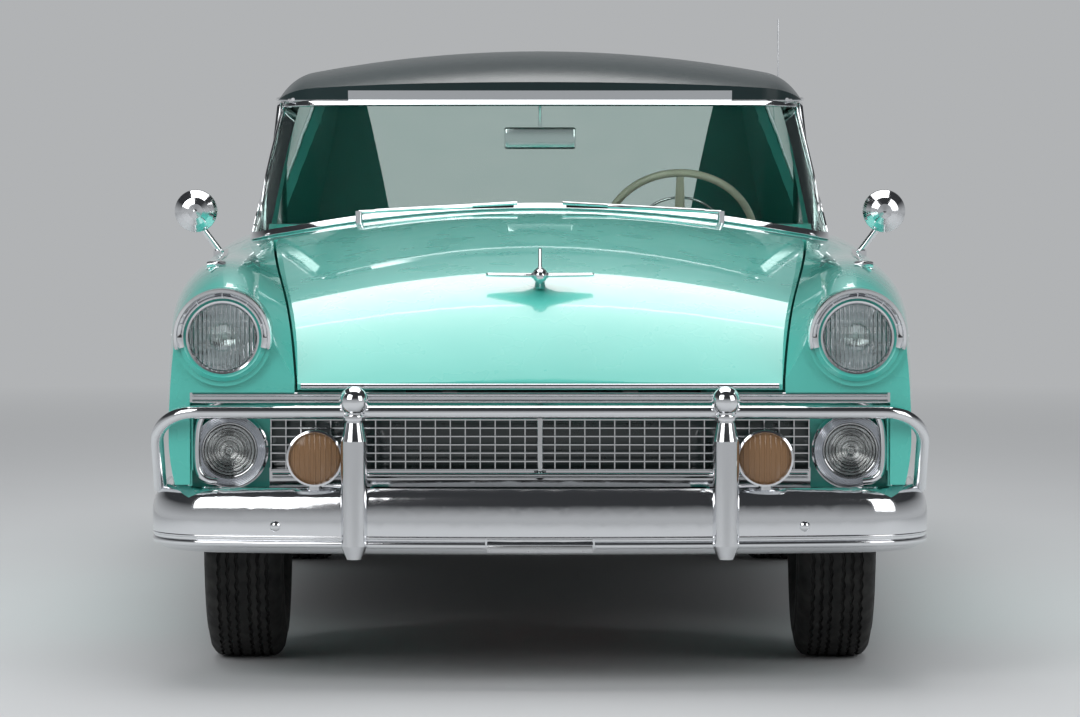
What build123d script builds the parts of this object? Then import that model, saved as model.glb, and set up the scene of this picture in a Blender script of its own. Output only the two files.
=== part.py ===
from build123d import *
import os
from math import atan2, cos, radians, sin, tan

# A full-size two-door hardtop of the mid 1950s, built panel by panel on a ladder frame.
# X is across the car with the driver's side positive, Y runs from the nose to the tail and Z is up.
# The origin is on the floor under the middle of the car. All sizes are in millimetres.
# A station is a distance behind the foremost face of the car.

# Overall sizes
overall_length = 5040.0
wheelbase = 2934.0
front_overhang = 860.0
front_track = 1474.0
rear_track = 1424.0
panel_gap = 7.0
skin = 28.0
door_wall = 52.0
seat_gap = 0.3
running_gap = 0.05

# Wheels and tyres
tyre_diameter = 710.0
tyre_width = 196.0
tread_width = 150.0
tyre_wall = 16.0
rim_diameter = 392.0
rim_width = 150.0
rim_wall = 8.0
rim_flange = 16.0
drum_radius = 156.0
hub_radius = 58.0
hub_back = 49.7
spindle_radius = 22.0
axle_height = tyre_diameter / 2
front_arch_radius = 412.0
rear_arch_radius = 396.0
arch_lip = 22.0
arch_relief = 20.0

# Stations along the car
front_axle = front_overhang
rear_axle = front_overhang + wheelbase
nose_station = 112.0
lamp_station = 96.0
hood_rear = 1664.0
firewall_station = 1700.0
firewall_low = 380.0
door_front = 2076.0
door_rear = 3214.0
lid_front = 4176.0
tail_station = 4962.0

# Heights
glass_top = 1412.0
roof_base = 1395.0
door_sill = 276.0
grille_low = 474.0
grille_high = 708.0
lid_low = 640.0
rear_bumper_start = 4400.0
floor_thickness = 12.0

# Body sides, as half sections of one continuous hull from the nose to the tail
HULL_COLUMNS = (
    "station", "z_bottom", "x_rocker", "x_wide", "z_wide", "x_shoulder", "z_shoulder",
    "x_crest", "z_crest", "x_flank", "z_flank", "x_seam", "z_seam", "z_top",
)
HULL = [
    (nose_station, 400, 845, 893, 600, 880, 822, 757, 948, 660, 862, 583, 728, 734),
    (400, 345, 862, 912, 620, 901, 862, 775, 994, 690, 955, 604, 886, 924),
    (1000, 282, 876, 932, 670, 921, 880, 802, 1004, 716, 992, 652, 974, 1042),
    (1700, 252, 890, 950, 700, 938, 880, 845, 992, 775, 1012, 705, 1030, 1105),
    (2500, 248, 900, 962, 710, 950, 880, 868, 992, 806, 1018, 760, 1028, 1100),
    (3400, 252, 905, 964, 710, 952, 880, 868, 988, 800, 1008, 740, 1014, 1060),
    (4200, 290, 890, 958, 700, 948, 880, 850, 984, 775, 985, 700, 978, 1012),
    (4700, 345, 868, 942, 680, 934, 868, 828, 974, 745, 952, 662, 925, 962),
    (tail_station, 405, 836, 908, 645, 900, 828, 800, 930, 716, 876, 638, 806, 836),
]

# Glasshouse, as plan outlines low and high
GLASS_COLUMNS = (
    "height", "front", "x_corner", "y_corner", "x_side", "y_side",
    "x_side_end", "y_side_end", "x_rear", "y_rear", "rear",
)
GLASSHOUSE = [
    (840, 1443, 600, 1566, 809, 2008, 832, 3330, 746, 4132, 4250),
    (glass_top, 2112, 600, 2150, 704, 2252, 716, 3160, 628, 3720, 3796),
]

# Roof, as half sections that arch over the glasshouse
ROOF_COLUMNS = ("station", "x_edge", "x_shoulder", "z_shoulder", "z_top")
ROOF = [
    (2040, 712, 600, 1414, 1432),
    (2240, 724, 626, 1446, 1482),
    (2700, 734, 640, 1472, 1528),
    (3200, 734, 636, 1468, 1526),
    (3600, 722, 612, 1442, 1482),
    (3860, 708, 580, 1408, 1424),
]
roof_wall = 24.0
roof_overhang = 22.0

far = 1200.0
top_of_all = 1800.0
origin_station = overall_length / 2


def at(station):
    """The Y place of a station behind the foremost face."""
    return station - origin_station


def named(columns, row):
    return dict(zip(columns, row))


def mirrored(shape):
    return mirror(shape, Plane.YZ)


def both(shape):
    """A piece on the driver's side and its twin, which don't touch."""
    return list(shape.solids()) + list(mirrored(shape).solids())


def box(x0, x1, s0, s1, z0, z1):
    """A block between two corners, with its places along the car given as stations."""
    place = Pos((x0 + x1) / 2, at((s0 + s1) / 2), (z0 + z1) / 2)
    return place * Box(abs(x1 - x0), abs(s1 - s0), abs(z1 - z0))


def side_prism(points, x0, x1):
    """A prism across the car whose outline is given as (station, height) pairs."""
    outline = Polyline([(at(s), z) for s, z in points], close=True)
    face = Plane(origin=(x0, 0, 0), x_dir=(0, 1, 0), z_dir=(1, 0, 0)) * make_face(outline)
    return extrude(face, amount=x1 - x0, dir=(1, 0, 0))


def plan_prism(points, z0, z1):
    """An upright prism whose outline is given as (x, station) pairs."""
    outline = Polyline([(x, at(s)) for x, s in points], close=True)
    return extrude(Plane.XY.offset(z0) * make_face(outline), amount=z1 - z0, dir=(0, 0, 1))


def rod(start, end, radius):
    """A round bar between two points given as (x, station, height)."""
    first = Vector(start[0], at(start[1]), start[2])
    axis = Vector(end[0], at(end[1]), end[2]) - first
    place = Plane(origin=first, z_dir=axis)
    return place * Cylinder(radius, axis.length, align=(Align.CENTER, Align.CENTER, Align.MIN))


def across(x0, x1, station, height, radius):
    """A round bar straight across the car."""
    return rod((x0, station, height), (x1, station, height), radius)


def along(x, s0, s1, height, radius):
    """A round bar straight along the car."""
    return rod((x, s0, height), (x, s1, height), radius)


def upright(x, station, z0, z1, radius):
    """A round bar straight up."""
    return rod((x, station, z0), (x, station, z1), radius)


def spun_across(points, x, station, height):
    """A solid turned about an axis across the car, from (offset outwards, radius) pairs."""
    face = make_face(Polyline(points, close=True))
    return Pos(x, at(station), height) * revolve(face, Axis.X)


def spun_along(points, x, station, height):
    """A solid turned about an axis along the car, from (radius, station behind) pairs."""
    face = make_face(Polyline(points, close=True))
    return Pos(x, at(station), height) * revolve(face, Axis.Y)


def hull_section(row, inset=0.0, shift=0.0):
    """One half section of the hull as a closed face, drawn in by inset."""
    r = named(HULL_COLUMNS, row)
    wide = (r["x_wide"] - inset, r["z_wide"])
    rocker = (r["x_rocker"] - inset, r["z_bottom"] + inset)
    shoulder = (r["x_shoulder"] - inset, r["z_shoulder"])
    fall = atan2(r["z_flank"] - r["z_seam"], r["x_flank"] - r["x_seam"])
    crest = (r["x_crest"], r["z_crest"] - inset)
    flank = (r["x_flank"] + inset * sin(fall), r["z_flank"] - inset * cos(fall))
    seam = (r["x_seam"] + inset * tan(fall / 2), r["z_seam"] - inset)
    top = (0, r["z_top"] - inset)
    plane = Plane(origin=(0, at(r["station"]) + shift, 0), x_dir=(1, 0, 0), z_dir=(0, -1, 0))
    with BuildSketch(plane) as sketch:
        with BuildLine():
            Line((0, rocker[1]), rocker)
            TangentArc(wide, rocker, tangent=(0, -1))
            side = TangentArc(wide, shoulder, tangent=(0, 1))
            upper = TangentArc(shoulder, crest, tangent=side % 1)
            TangentArc(crest, flank, tangent=upper % 1)
            Line(flank, seam)
            TangentArc(top, seam, tangent=(1, 0))
            Line(top, (0, rocker[1]))
        make_face()
    return sketch.sketch.faces()[0]


def hull_half(inset=0.0, rows=HULL):
    """The driver's half of the hull as a full solid, its ends drawn in by inset too."""
    shifts = [inset] + [0.0] * (len(rows) - 2) + [-inset]
    return loft([hull_section(row, inset, shift) for row, shift in zip(rows, shifts)])


def glass_outline(row, inset=0.0, height=None):
    """One plan outline of the glasshouse as a closed face, drawn in by inset."""
    r = named(GLASS_COLUMNS, row)
    front = (0, at(r["front"]) + inset)
    corner = (r["x_corner"] - 0.4 * inset, at(r["y_corner"]) + 0.9 * inset)
    side = (r["x_side"] - inset, at(r["y_side"]) + 0.3 * inset)
    side_end = (r["x_side_end"] - inset, at(r["y_side_end"]) - 0.1 * inset)
    rear_corner = (r["x_rear"] - 0.8 * inset, at(r["y_rear"]) - 0.8 * inset)
    rear = (0, at(r["rear"]) - inset)
    with BuildSketch(Plane.XY.offset(r["height"] if height is None else height)) as sketch:
        with BuildLine():
            first = TangentArc(front, corner, tangent=(1, 0))
            second = TangentArc(corner, side, tangent=first % 1)
            third = TangentArc(side, side_end, tangent=second % 1)
            TangentArc(side_end, rear_corner, tangent=third % 1)
            TangentArc(rear, rear_corner, tangent=(1, 0))
            mirror(about=Plane.YZ)
        make_face()
    return sketch.sketch.faces()[0]


def glasshouse(inset=0.0):
    """The space under the roof, as a full solid drawn in by inset."""
    return loft([glass_outline(row, inset) for row in GLASSHOUSE], ruled=True)


def roof_section(row, inset=0.0):
    """One half section of the roof's arch, drawn in by inset."""
    r = named(ROOF_COLUMNS, row)
    base = roof_base
    top = (0, max(r["z_top"] - inset, base + 9))
    shoulder = (r["x_shoulder"] - 0.5 * inset, max(r["z_shoulder"] - inset, base + 6))
    plane = Plane(origin=(0, at(r["station"]), 0), x_dir=(1, 0, 0), z_dir=(0, -1, 0))
    with BuildSketch(plane) as sketch:
        with BuildLine():
            crown = TangentArc(top, shoulder, tangent=(1, 0))
            TangentArc(shoulder, (r["x_edge"] - inset, base), tangent=crown % 1)
            Line((r["x_edge"] - inset, base), (0, base))
            Line((0, base), top)
        make_face()
    return sketch.sketch.faces()[0]


def outside(shape):
    """The one solid of a shape that reaches highest, without what is left inside a panel."""
    return max(shape.solids(), key=lambda solid: solid.bounding_box().max.Z)


def cut(shape, *others):
    """A shape without the others."""
    for other in others:
        shape = shape - other
    return shape


def whole(half):
    return half + mirrored(half)


# Shared solids that the panels are cut from
outer_half = hull_half()
skin_half = outer_half - hull_half(skin)
inner_half = hull_half(skin)
wall_half = outer_half - hull_half(door_wall, HULL[3:])
glass_thickness = 7.0
pillar_thickness = 40.0
ledge = 24.0
glass_half = glasshouse() & box(0, far, 0, overall_length, 0, top_of_all)
glass_ledge = glasshouse(ledge)

# Lines where the panels meet
hood_front_half_width = 583.0
hood_rear_half_width = 703.0
hood_bow = 46.0
hood_side_bow = 14.0
hood_corner_relief = 7.0
hood_relief_length = 240.0
buffer_width = 36.0
buffer_x = 200.0
cowl_half_width = 800.0
cowl_overlap = 60.0
cowl_low = 700.0
lid_front_half_width = 655.0
lid_rear_half_width = 610.0
lid_bow = 46.0
door_inner_x = 846.0
opening_half_width = 842.0
outline_low = 500.0
deck_half_width = 700.0
deck_front = 3700.0
hood_line_start = 60.0
lid_line_end = 80.0


def hood_outline(grow):
    """The hood's plan outline from the nose to the cowl, grown or drawn in."""
    front_x, rear_x = hood_front_half_width + grow, hood_rear_half_width + grow
    nose, start, rear = at(nose_station) - hood_line_start, at(nose_station), at(hood_rear) + grow
    middle_x, middle = (front_x + rear_x) / 2 + hood_side_bow, (start + rear) / 2
    with BuildSketch(Plane.XY.offset(outline_low)) as sketch:
        with BuildLine():
            Polyline((-front_x, start), (-front_x, nose), (front_x, nose), (front_x, start))
            for side in (1, -1):
                ThreePointArc((side * front_x, start), (side * middle_x, middle), (side * rear_x, rear))
            ThreePointArc((rear_x, rear), (0, rear - hood_bow), (-rear_x, rear))
        make_face()
    return extrude(sketch.sketch, amount=top_of_all - outline_low, dir=(0, 0, 1))


def lid_outline(grow):
    """The deck lid's plan outline, grown or drawn in."""
    front_x, rear_x = lid_front_half_width + grow, lid_rear_half_width + grow
    front_y, rear_y = at(lid_front) - grow, at(tail_station) + lid_line_end
    with BuildSketch(Plane.XY.offset(outline_low)) as sketch:
        with BuildLine():
            ThreePointArc((-front_x, front_y - lid_bow), (0, front_y), (front_x, front_y - lid_bow))
            Polyline(
                (front_x, front_y - lid_bow), (rear_x, rear_y),
                (-rear_x, rear_y), (-front_x, front_y - lid_bow),
            )
        make_face()
    return extrude(sketch.sketch, amount=top_of_all - outline_low, dir=(0, 0, 1))


# Pillar lines in side view, as (station, height) pairs
pillar_low = 840.0
belt_height = 1000.0
windshield_slope = 0.405


def slanted(base, height, slope=windshield_slope):
    """The station of a pillar's edge at a height, from its station at the belt."""
    return base + (height - belt_height) * slope


a_pillar_front, a_pillar_rear = 2062.0, 2118.0
door_glass_rear = 3196.0
c_pillar_front, c_pillar_rear = 3640.0, 4040.0
c_front_slope, c_rear_slope = -0.25, -0.82


def between(front, front_slope, rear, rear_slope, low, high):
    """A prism across the whole car between two slanted lines."""
    points = [
        (slanted(front, low, front_slope), low),
        (slanted(rear, low, rear_slope), low),
        (slanted(rear, high, rear_slope), high),
        (slanted(front, high, front_slope), high),
    ]
    return side_prism(points, -far, far)


def make_hood():
    hood = whole(skin_half) & hood_outline(0)
    corner = [
        (hood_rear_half_width + 2, hood_rear - hood_relief_length),
        (hood_rear_half_width + 2, hood_rear + 20),
        (hood_rear_half_width - hood_corner_relief, hood_rear + 20),
    ]
    relief = plan_prism(corner, outline_low, top_of_all)
    hood -= relief + mirrored(relief)
    return hood - box(-far, far, 0, hood_rear, 0, grille_high + panel_gap)


def make_deck_lid():
    lid = whole(skin_half) & lid_outline(0)
    return lid - box(-far, far, lid_front - 90, tail_station + 20, 0, lid_low)


def arch(station, radius, outer_x):
    """A wheel arch cut with a thin lip at the outside."""
    centre = Pos(0, at(station), axle_height) * Rot(0, 90, 0)
    relief = centre * Cylinder(radius + arch_relief, 2 * (outer_x - arch_lip))
    return centre * Cylinder(radius, 2 * far) + relief


# Headlamps
headlamp_x = 761.0
headlamp_z = 842.0
headlamp_radius = 80.0
bezel_radius = 106.0
nacelle_radius = 118.0
nacelle_depth = 110.0
nacelle_bore_wall = 16.0
bucket_depth = 84.0
parking_lamp_x = 749.0
parking_lamp_z = 566.0
parking_bezel_radius = 94.0
parking_lens_radius = 64.0

# Inner fenders
front_arch_start = 215.0
apron_low = 486.0
apron_x = 408.0
apron_wall = 8.0
apron_shelf = 840.0
apron_front = 372.0
apron_reach = 900.0
apron_foot = 428.0

# Ladder frame
rail_width = 70.0
rail_height = 88.0
narrow_frame_end = 1400.0
narrow_reach, wide_reach = 400.0, 560.0
RAIL_COLUMNS = ("station", "x_middle", "z_low")
RAIL = [
    (120, 385, 340), (1350, 385, 340), (1600, 540, 292), (3250, 540, 292),
    (3520, 540, 462), (4120, 540, 462), (4300, 540, 422), (4900, 540, 422),
]
CROSS_COLUMNS = ("station", "length", "z_low", "z_high")
CROSSMEMBERS = [
    (150, 60, 350, 420), (800, 120, 300, 428), (1540, 70, 305, 372), (2470, 70, 300, 372),
    (3160, 70, 300, 372), (4170, 60, 462, 520), (4820, 60, 430, 505),
]


def make_frame():
    rows = [named(RAIL_COLUMNS, row) for row in RAIL]
    half = rail_width / 2
    plan = [(r["x_middle"] - half, r["station"]) for r in rows]
    plan += [(r["x_middle"] + half, r["station"]) for r in reversed(rows)]
    side = [(r["station"], r["z_low"]) for r in rows]
    side += [(r["station"], r["z_low"] + rail_height) for r in reversed(rows)]
    rail = plan_prism(plan, 0, 900) & side_prism(side, 0, far)
    frame = rail + mirrored(rail)
    for row in CROSSMEMBERS:
        r = named(CROSS_COLUMNS, row)
        reach = narrow_reach if r["station"] < narrow_frame_end else wide_reach
        frame += box(-reach, reach, r["station"], r["station"] + r["length"], r["z_low"], r["z_high"])
    return frame


# Floor
TUNNEL_COLUMNS = ("station", "x_low", "x_high", "z_top")
TUNNEL = [(1600, 168, 118, 560), (3560, 130, 90, 470)]
tunnel_low = 300.0
tunnel_end = 3400.0


def tunnel(inset):
    """The hump over the propeller shaft, drawn in by inset."""
    faces = []
    for row in TUNNEL:
        r = named(TUNNEL_COLUMNS, row)
        low, high, top = r["x_low"] - inset, r["x_high"] - inset, r["z_top"] - inset
        points = [(-low, tunnel_low), (-high, top), (high, top), (low, tunnel_low)]
        plane = Plane(origin=(0, at(r["station"]), 0), x_dir=(1, 0, 0), z_dir=(0, -1, 0))
        faces.append(plane * make_face(Polyline(points, close=True)))
    return loft(faces)


floor_half_width = 780.0
floor_front = firewall_station + 12
floor_rear = 4874.0
sill_outer_x = 834.0
sill_low, sill_high, sill_rear = 262.0, 392.0, 3330.0
tread_plate_x = 888.0
tread_plate_low = 250.0
striker_front = door_rear - 84.0
striker_low, striker_high = 300.0, 330.0
wheelhouse_x = 592.0
wheelhouse_outer_x = 905.0
wheelhouse_reach = 600.0
wheelhouse_low = 392.0


def floor_band():
    """The floor's thickness in side view, lying on the rails from the firewall to the tail."""
    line = [(r["station"], r["z_low"] + rail_height) for r in (named(RAIL_COLUMNS, row) for row in RAIL)]
    base = [(floor_front, line[3][1])] + line[3:-1] + [(floor_rear, line[-1][1])]
    return base + [(s, z + floor_thickness) for s, z in reversed(base)]


def make_sill():
    """The box under the door opening, with its tread plate and the block that the door shuts against."""
    sill = box(floor_half_width, sill_outer_x, floor_front, sill_rear, sill_low, sill_high)
    sill += box(
        sill_outer_x - 1, door_inner_x - seat_gap, striker_front, striker_front + buffer_width,
        striker_low, striker_high,
    )
    front, rear = door_front - panel_gap, door_rear + panel_gap
    return sill + box(sill_outer_x - 1, tread_plate_x, front, rear, tread_plate_low, door_sill - panel_gap)


def make_floor(blocked):
    """The pan from the firewall to the tail, with its sills, tunnel and rear wheel houses."""
    floor = side_prism(floor_band(), -floor_half_width, floor_half_width)
    sill = make_sill()
    front, rear = rear_axle - wheelhouse_reach, rear_axle + wheelhouse_reach
    wheel = Pos(0, at(rear_axle), axle_height) * Rot(0, 90, 0)
    inner, outer = rear_arch_radius + arch_relief - 4, rear_arch_radius + arch_relief + 8
    well = wheel * Cylinder(inner, 2 * far) & box(wheelhouse_x, far, front, rear, 0, 1000)
    floor -= well
    floor -= mirrored(well)
    shell = wheel * Cylinder(outer, 2 * wheelhouse_outer_x)
    shell -= wheel * Cylinder(inner, 2 * far)
    shell += wheel * Cylinder(outer, 2 * wheelhouse_x + 24)
    shell &= box(wheelhouse_x, wheelhouse_outer_x, front, rear, wheelhouse_low, 1000)
    shell -= box(wheelhouse_x - 10, wheelhouse_x + 20, rear_axle - 60, rear_axle + 60, 0, 430)
    floor = floor + sill + mirrored(sill) + shell + mirrored(shell)
    floor -= tunnel(0) & box(-far, far, floor_front, tunnel_end, 0, 700)
    hump = (tunnel(0) - tunnel(floor_thickness)) & box(-far, far, floor_front, tunnel_end + 20, 380, 700)
    hump -= side_prism(floor_band()[:6] + [(floor_rear, 0), (floor_front, 0)], -far, far)
    return cut(floor + hump, *blocked)


def front_body_space():
    """The space ahead of the door, with a tongue over its front corner that carries the pillar."""
    tongue = box(0, far, door_front - panel_gap - 1, pillar_foot_rear, notch_height, top_of_all)
    return box(0, far, 0, door_front - panel_gap, 0, top_of_all) + tongue


def make_fender():
    """The driver's front fender with its nacelle, inner fender and side of the grille opening."""
    fender = skin_half & front_body_space()
    fender -= hood_outline(panel_gap)
    fender -= box(0, cowl_half_width, hood_rear - cowl_overlap, door_rear, 0, top_of_all)
    fender -= box(0, opening_half_width, 0, door_front, 0, grille_high)
    fender -= box(0, hood_front_half_width + panel_gap, 0, nose_station + 60, 0, top_of_all)
    ring = along(headlamp_x, lamp_station, lamp_station + nacelle_depth, headlamp_z, nacelle_radius)
    fender += ring
    bore = headlamp_radius + nacelle_bore_wall
    fender -= along(headlamp_x, 0, lamp_station + nacelle_depth + 60, headlamp_z, bore)
    fender -= arch(front_axle, front_arch_radius, fender_arch_x)
    fender -= box(0, far, 0, front_arch_start, 0, apron_low)
    return fender


def make_apron():
    """The inner fender: a wall that stands on the frame and a shelf out to the skin."""
    wall = box(apron_x, apron_x + apron_wall, apron_front, firewall_station, apron_foot, apron_shelf)
    shelf = box(apron_x, apron_reach, apron_front, firewall_station, apron_shelf, apron_shelf + apron_wall)
    return (wall + shelf) & inner_half


def make_cowl():
    """The panel under the windshield with the firewall below it."""
    panel = skin_half & front_body_space()
    panel &= box(0, cowl_half_width, hood_rear - cowl_overlap, door_rear, cowl_low, top_of_all)
    panel -= hood_outline(panel_gap)
    panel -= glass_ledge
    firewall = box(0, far, firewall_station, floor_front, firewall_low, top_of_all) & inner_half
    firewall -= tunnel(0)
    return whole(panel + firewall)


def make_rear_deck():
    """The panel between the backlight and the deck lid, down to the trunk."""
    panel = skin_half & box(0, deck_half_width, deck_front, lid_front + 60, cowl_low, top_of_all)
    panel -= lid_outline(panel_gap)
    panel -= glass_ledge
    return whole(panel)


def make_tail_panel():
    edge = lid_rear_half_width + panel_gap
    high = lid_low - panel_gap
    panel = whole(wall_half) & box(-edge, edge, tail_station - 60, tail_station + 20, apron_low, high)
    buffer = box(
        buffer_x, buffer_x + buffer_width, tail_station - skin + 2, tail_station - 10,
        high - 1, lid_low - seat_gap,
    )
    return panel + buffer + mirrored(buffer)


# Doors
door_hinge_x = 950.0
door_hinge_back = 30.0
swing_clearance = 5.5
pillar_foot_rear = a_pillar_rear + 2.0
notch_height = 947.0
door_innermost_x = 600.0
door_belt = 900.0


def door_swing_line():
    """What the door's inner edge gives up at the rear, so that it clears the quarter as it swings."""
    hinge_station = door_front + door_hinge_back
    reach = door_rear + panel_gap - swing_clearance - hinge_station
    stops = (940, 880, 820, 760, 690)
    points = [(x, hinge_station + (reach ** 2 - (door_hinge_x - x) ** 2) ** 0.5) for x in stops]
    return points + [(stops[-1], door_rear + 60), (stops[0], door_rear + 60)]


def make_door():
    """The door's hollow-backed panel, notched at its front under the pillar."""
    door = wall_half & box(door_innermost_x, far, door_front, door_rear, door_sill, top_of_all)
    door -= box(0, door_inner_x, door_front - 10, door_rear + 10, 0, door_belt)
    door -= box(0, far, door_front - 10, pillar_foot_rear + panel_gap, notch_height - panel_gap, top_of_all)
    door -= plan_prism(door_swing_line(), 0, top_of_all)
    return door - glasshouse(ledge + 10)


handle_front, handle_rear = 2966.0, 3136.0
handle_z = 905.0
handle_x = 966.0
handle_radius = 8.5
handle_foot_radius = 6.5
handle_inset = 20.0


def make_door_handle():
    """A fixed pull on two feet that stand on the door's outer face."""
    handle = along(handle_x, handle_front, handle_rear, handle_z, handle_radius)
    for station in (handle_front + handle_inset, handle_rear - handle_inset):
        pin = across(door_inner_x, far, station, handle_z, handle_foot_radius) & outer_half
        handle += across(pin.bounding_box().max.X + seat_gap, handle_x, station, handle_z, handle_foot_radius)
    return handle


quarter_inner_x = 815.0
quarter_shelf = 760.0
fender_arch_x, quarter_arch_x = 915.0, 950.0


def make_quarter():
    """The driver's rear quarter, from the door to the tail."""
    quarter = wall_half & box(0, far, door_rear + panel_gap, tail_station + 10, 0, top_of_all)
    quarter -= lid_outline(panel_gap)
    quarter -= box(0, deck_half_width, door_rear, lid_front + 60, 0, top_of_all)
    quarter -= box(0, lid_rear_half_width + panel_gap, lid_front - 60, tail_station + 20, 0, top_of_all)
    quarter -= box(0, quarter_inner_x, door_rear, tail_station - door_wall, 0, quarter_shelf)
    quarter -= box(0, far, rear_bumper_start, overall_length, 0, apron_low)
    quarter -= glass_ledge
    return quarter - arch(rear_axle, rear_arch_radius, quarter_arch_x)


def glass_wall(thickness):
    """The driver's half of the glasshouse's wall above the body."""
    return glass_half - glasshouse(thickness) - outer_half


def make_roof():
    """The roof panel with its pillars, down to the body."""
    solid = loft([roof_section(row) for row in ROOF])
    hollow = loft([roof_section(row, roof_wall) for row in ROOF])
    outline = extrude(glass_outline(GLASSHOUSE[1], -roof_overhang, roof_base), amount=400, dir=(0, 0, 1))
    inner = extrude(glass_outline(GLASSHOUSE[1], pillar_thickness, roof_base - 4), amount=400, dir=(0, 0, 1))
    roof = (solid & outline) - (hollow & inner)
    wall = glass_wall(pillar_thickness)
    front = between(a_pillar_front, windshield_slope, a_pillar_rear, windshield_slope, pillar_low, roof_base)
    rear = between(c_pillar_front, c_front_slope, c_pillar_rear, c_rear_slope, pillar_low, roof_base)
    return whole(roof + (wall & front) + (wall & rear))


def make_windshield():
    glass = glass_wall(glass_thickness)
    return whole(glass & between(1200, 0, a_pillar_front, windshield_slope, pillar_low, roof_base))


def make_rear_glass():
    glass = glass_wall(glass_thickness)
    back = whole(glass & between(c_pillar_rear, c_rear_slope, 4600, 0, pillar_low, roof_base))
    front = door_glass_rear + panel_gap
    side = glass & between(front, 0, c_pillar_front, c_front_slope, pillar_low, roof_base)
    return list(back.solids()) + both(side)


def make_door_glass():
    low_front = a_pillar_rear + panel_gap / cos(radians(22))
    region = between(low_front, windshield_slope, door_glass_rear, 0, pillar_low, roof_base - panel_gap)
    return glass_wall(glass_thickness) & region


# Front end
grille_station = 176.0
mesh_half_width = 652.0
mesh_low, mesh_high = 516.0, 640.0
mesh_rows = 6
mesh_columns = 36
mesh_plate = 3.0
mesh_depth = 16.0
grille_post_radius = 9.0
surround_wall = 12.0
brow_height = 26.0
bar_height = 20.0
bar_half_width = 650.0


def make_surround():
    """The panel behind the grille and lamps, with the moulding above and the bar below."""
    half, panel_front = opening_half_width, grille_station + 2 * mesh_depth
    panel = box(-half, half, panel_front, panel_front + surround_wall, grille_low, grille_high)
    panel -= box(-mesh_half_width, mesh_half_width, 0, 400, mesh_low, mesh_high)
    for side in (-1, 1):
        panel -= along(side * parking_lamp_x, 0, 400, parking_lamp_z, parking_bezel_radius - 14)
    brow = box(-half, half, nose_station + 8, panel_front, grille_high - brow_height, grille_high)
    bar_front, bar_low = grille_station - 30, mesh_low - bar_height
    bar = box(-bar_half_width, bar_half_width, bar_front, panel_front, bar_low, mesh_low)
    bar -= box(-14, 14, 0, grille_station + 24, 0, mesh_low + 1)
    buffer = box(
        buffer_x, buffer_x + buffer_width, nose_station + 9, nose_station + skin - 2,
        grille_high - 1, grille_high + panel_gap - seat_gap,
    )
    return panel + brow + bar + buffer + mirrored(buffer)


def make_grille():
    """The mesh: level slats in front of upright ones, with a post in the middle."""
    front, middle = grille_station, grille_station + mesh_depth
    plates = []
    for i in range(mesh_rows + 1):
        z = mesh_low + i * (mesh_high - mesh_low - mesh_plate) / mesh_rows
        plates.append(box(-mesh_half_width, mesh_half_width, front, middle, z, z + mesh_plate))
    for i in range(mesh_columns + 1):
        x = -mesh_half_width + i * (2 * mesh_half_width - mesh_plate) / mesh_columns
        plates.append(box(x, x + mesh_plate, middle, middle + mesh_depth, mesh_low, mesh_high))
    station, low, high = front + mesh_depth / 2, mesh_low - 12, mesh_high + 26
    post = upright(0, station, low - 2, high, grille_post_radius)
    tips = [Pos(0, at(station), z) * Sphere(grille_post_radius + 3) for z in (low, high)]
    return plates[0].fuse(*plates[1:], post, *tips)


def cup(radius, lens_radius, depth, lip):
    """A lamp's bezel: a ring that stands out in front of a closed cup, as (radius, station behind) pairs."""
    return [
        (0, depth), (radius - 14, depth), (radius - 14, lip), (radius, lip), (radius, 0),
        (radius - 10, -8), (lens_radius, 0), (lens_radius, depth - 8), (0, depth - 8),
    ]


def lens(radius, depth, dome):
    """A lamp's glass with a domed face, as (radius, station behind) pairs."""
    r = radius - seat_gap
    return [(0, depth), (r, depth), (r, 2), (0.8 * r, -0.45 * dome), (0.45 * r, -0.85 * dome), (0, -dome)]


bezel_lip, parking_lip = 8.0, 40.0
parking_depth = 60.0


def make_lamp_bezels():
    head = cup(bezel_radius, headlamp_radius, bucket_depth, bezel_lip)
    park = cup(parking_bezel_radius, parking_lens_radius, parking_depth, parking_lip)
    head = spun_along(head, headlamp_x, lamp_station - 8, headlamp_z)
    return both(head) + both(spun_along(park, parking_lamp_x, grille_station - 16, parking_lamp_z))


def make_lamp_lenses():
    head = spun_along(lens(headlamp_radius, bucket_depth - 8, 22), headlamp_x, lamp_station - 8, headlamp_z)
    park = lens(parking_lens_radius, parking_depth - 8, 20)
    return both(head) + both(spun_along(park, parking_lamp_x, grille_station - 16, parking_lamp_z))


visor_radius = 121.0
visor_wall = 8.0
visor_reach = 54.0
visor_drop = 52.0


def make_visors():
    """The half hoods over the headlamps, deepest at the top."""
    front = lamp_station - visor_reach
    shell = along(headlamp_x, front, lamp_station, headlamp_z, visor_radius)
    shell -= along(headlamp_x, 0, lamp_station + 10, headlamp_z, visor_radius - visor_wall)
    rear, far_out = lamp_station + 1, headlamp_z + 160
    mouth = [
        (0, far_out), (front + 8, headlamp_z + visor_radius), (rear, headlamp_z - visor_drop),
        (rear, headlamp_z - 160), (0, headlamp_z - 160),
    ]
    shell -= side_prism(mouth, 0, far)
    return both(shell)


# Bumpers
bumper_half_width = 941.0
bumper_low, bumper_high = 322.0, 480.0
bumper_wall = 8.0
bumper_bow = 70.0
bumper_wrap, rear_bumper_wrap = 480.0, 560.0
bumper_corner = 150.0
bumper_turn = 170.0
# (inset, height) rows of a bumper's section
BUMPER = [
    (34, bumper_low), (8, bumper_low + 22), (0, bumper_low + 60), (3, bumper_high - 42), (26, bumper_high),
]


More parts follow.
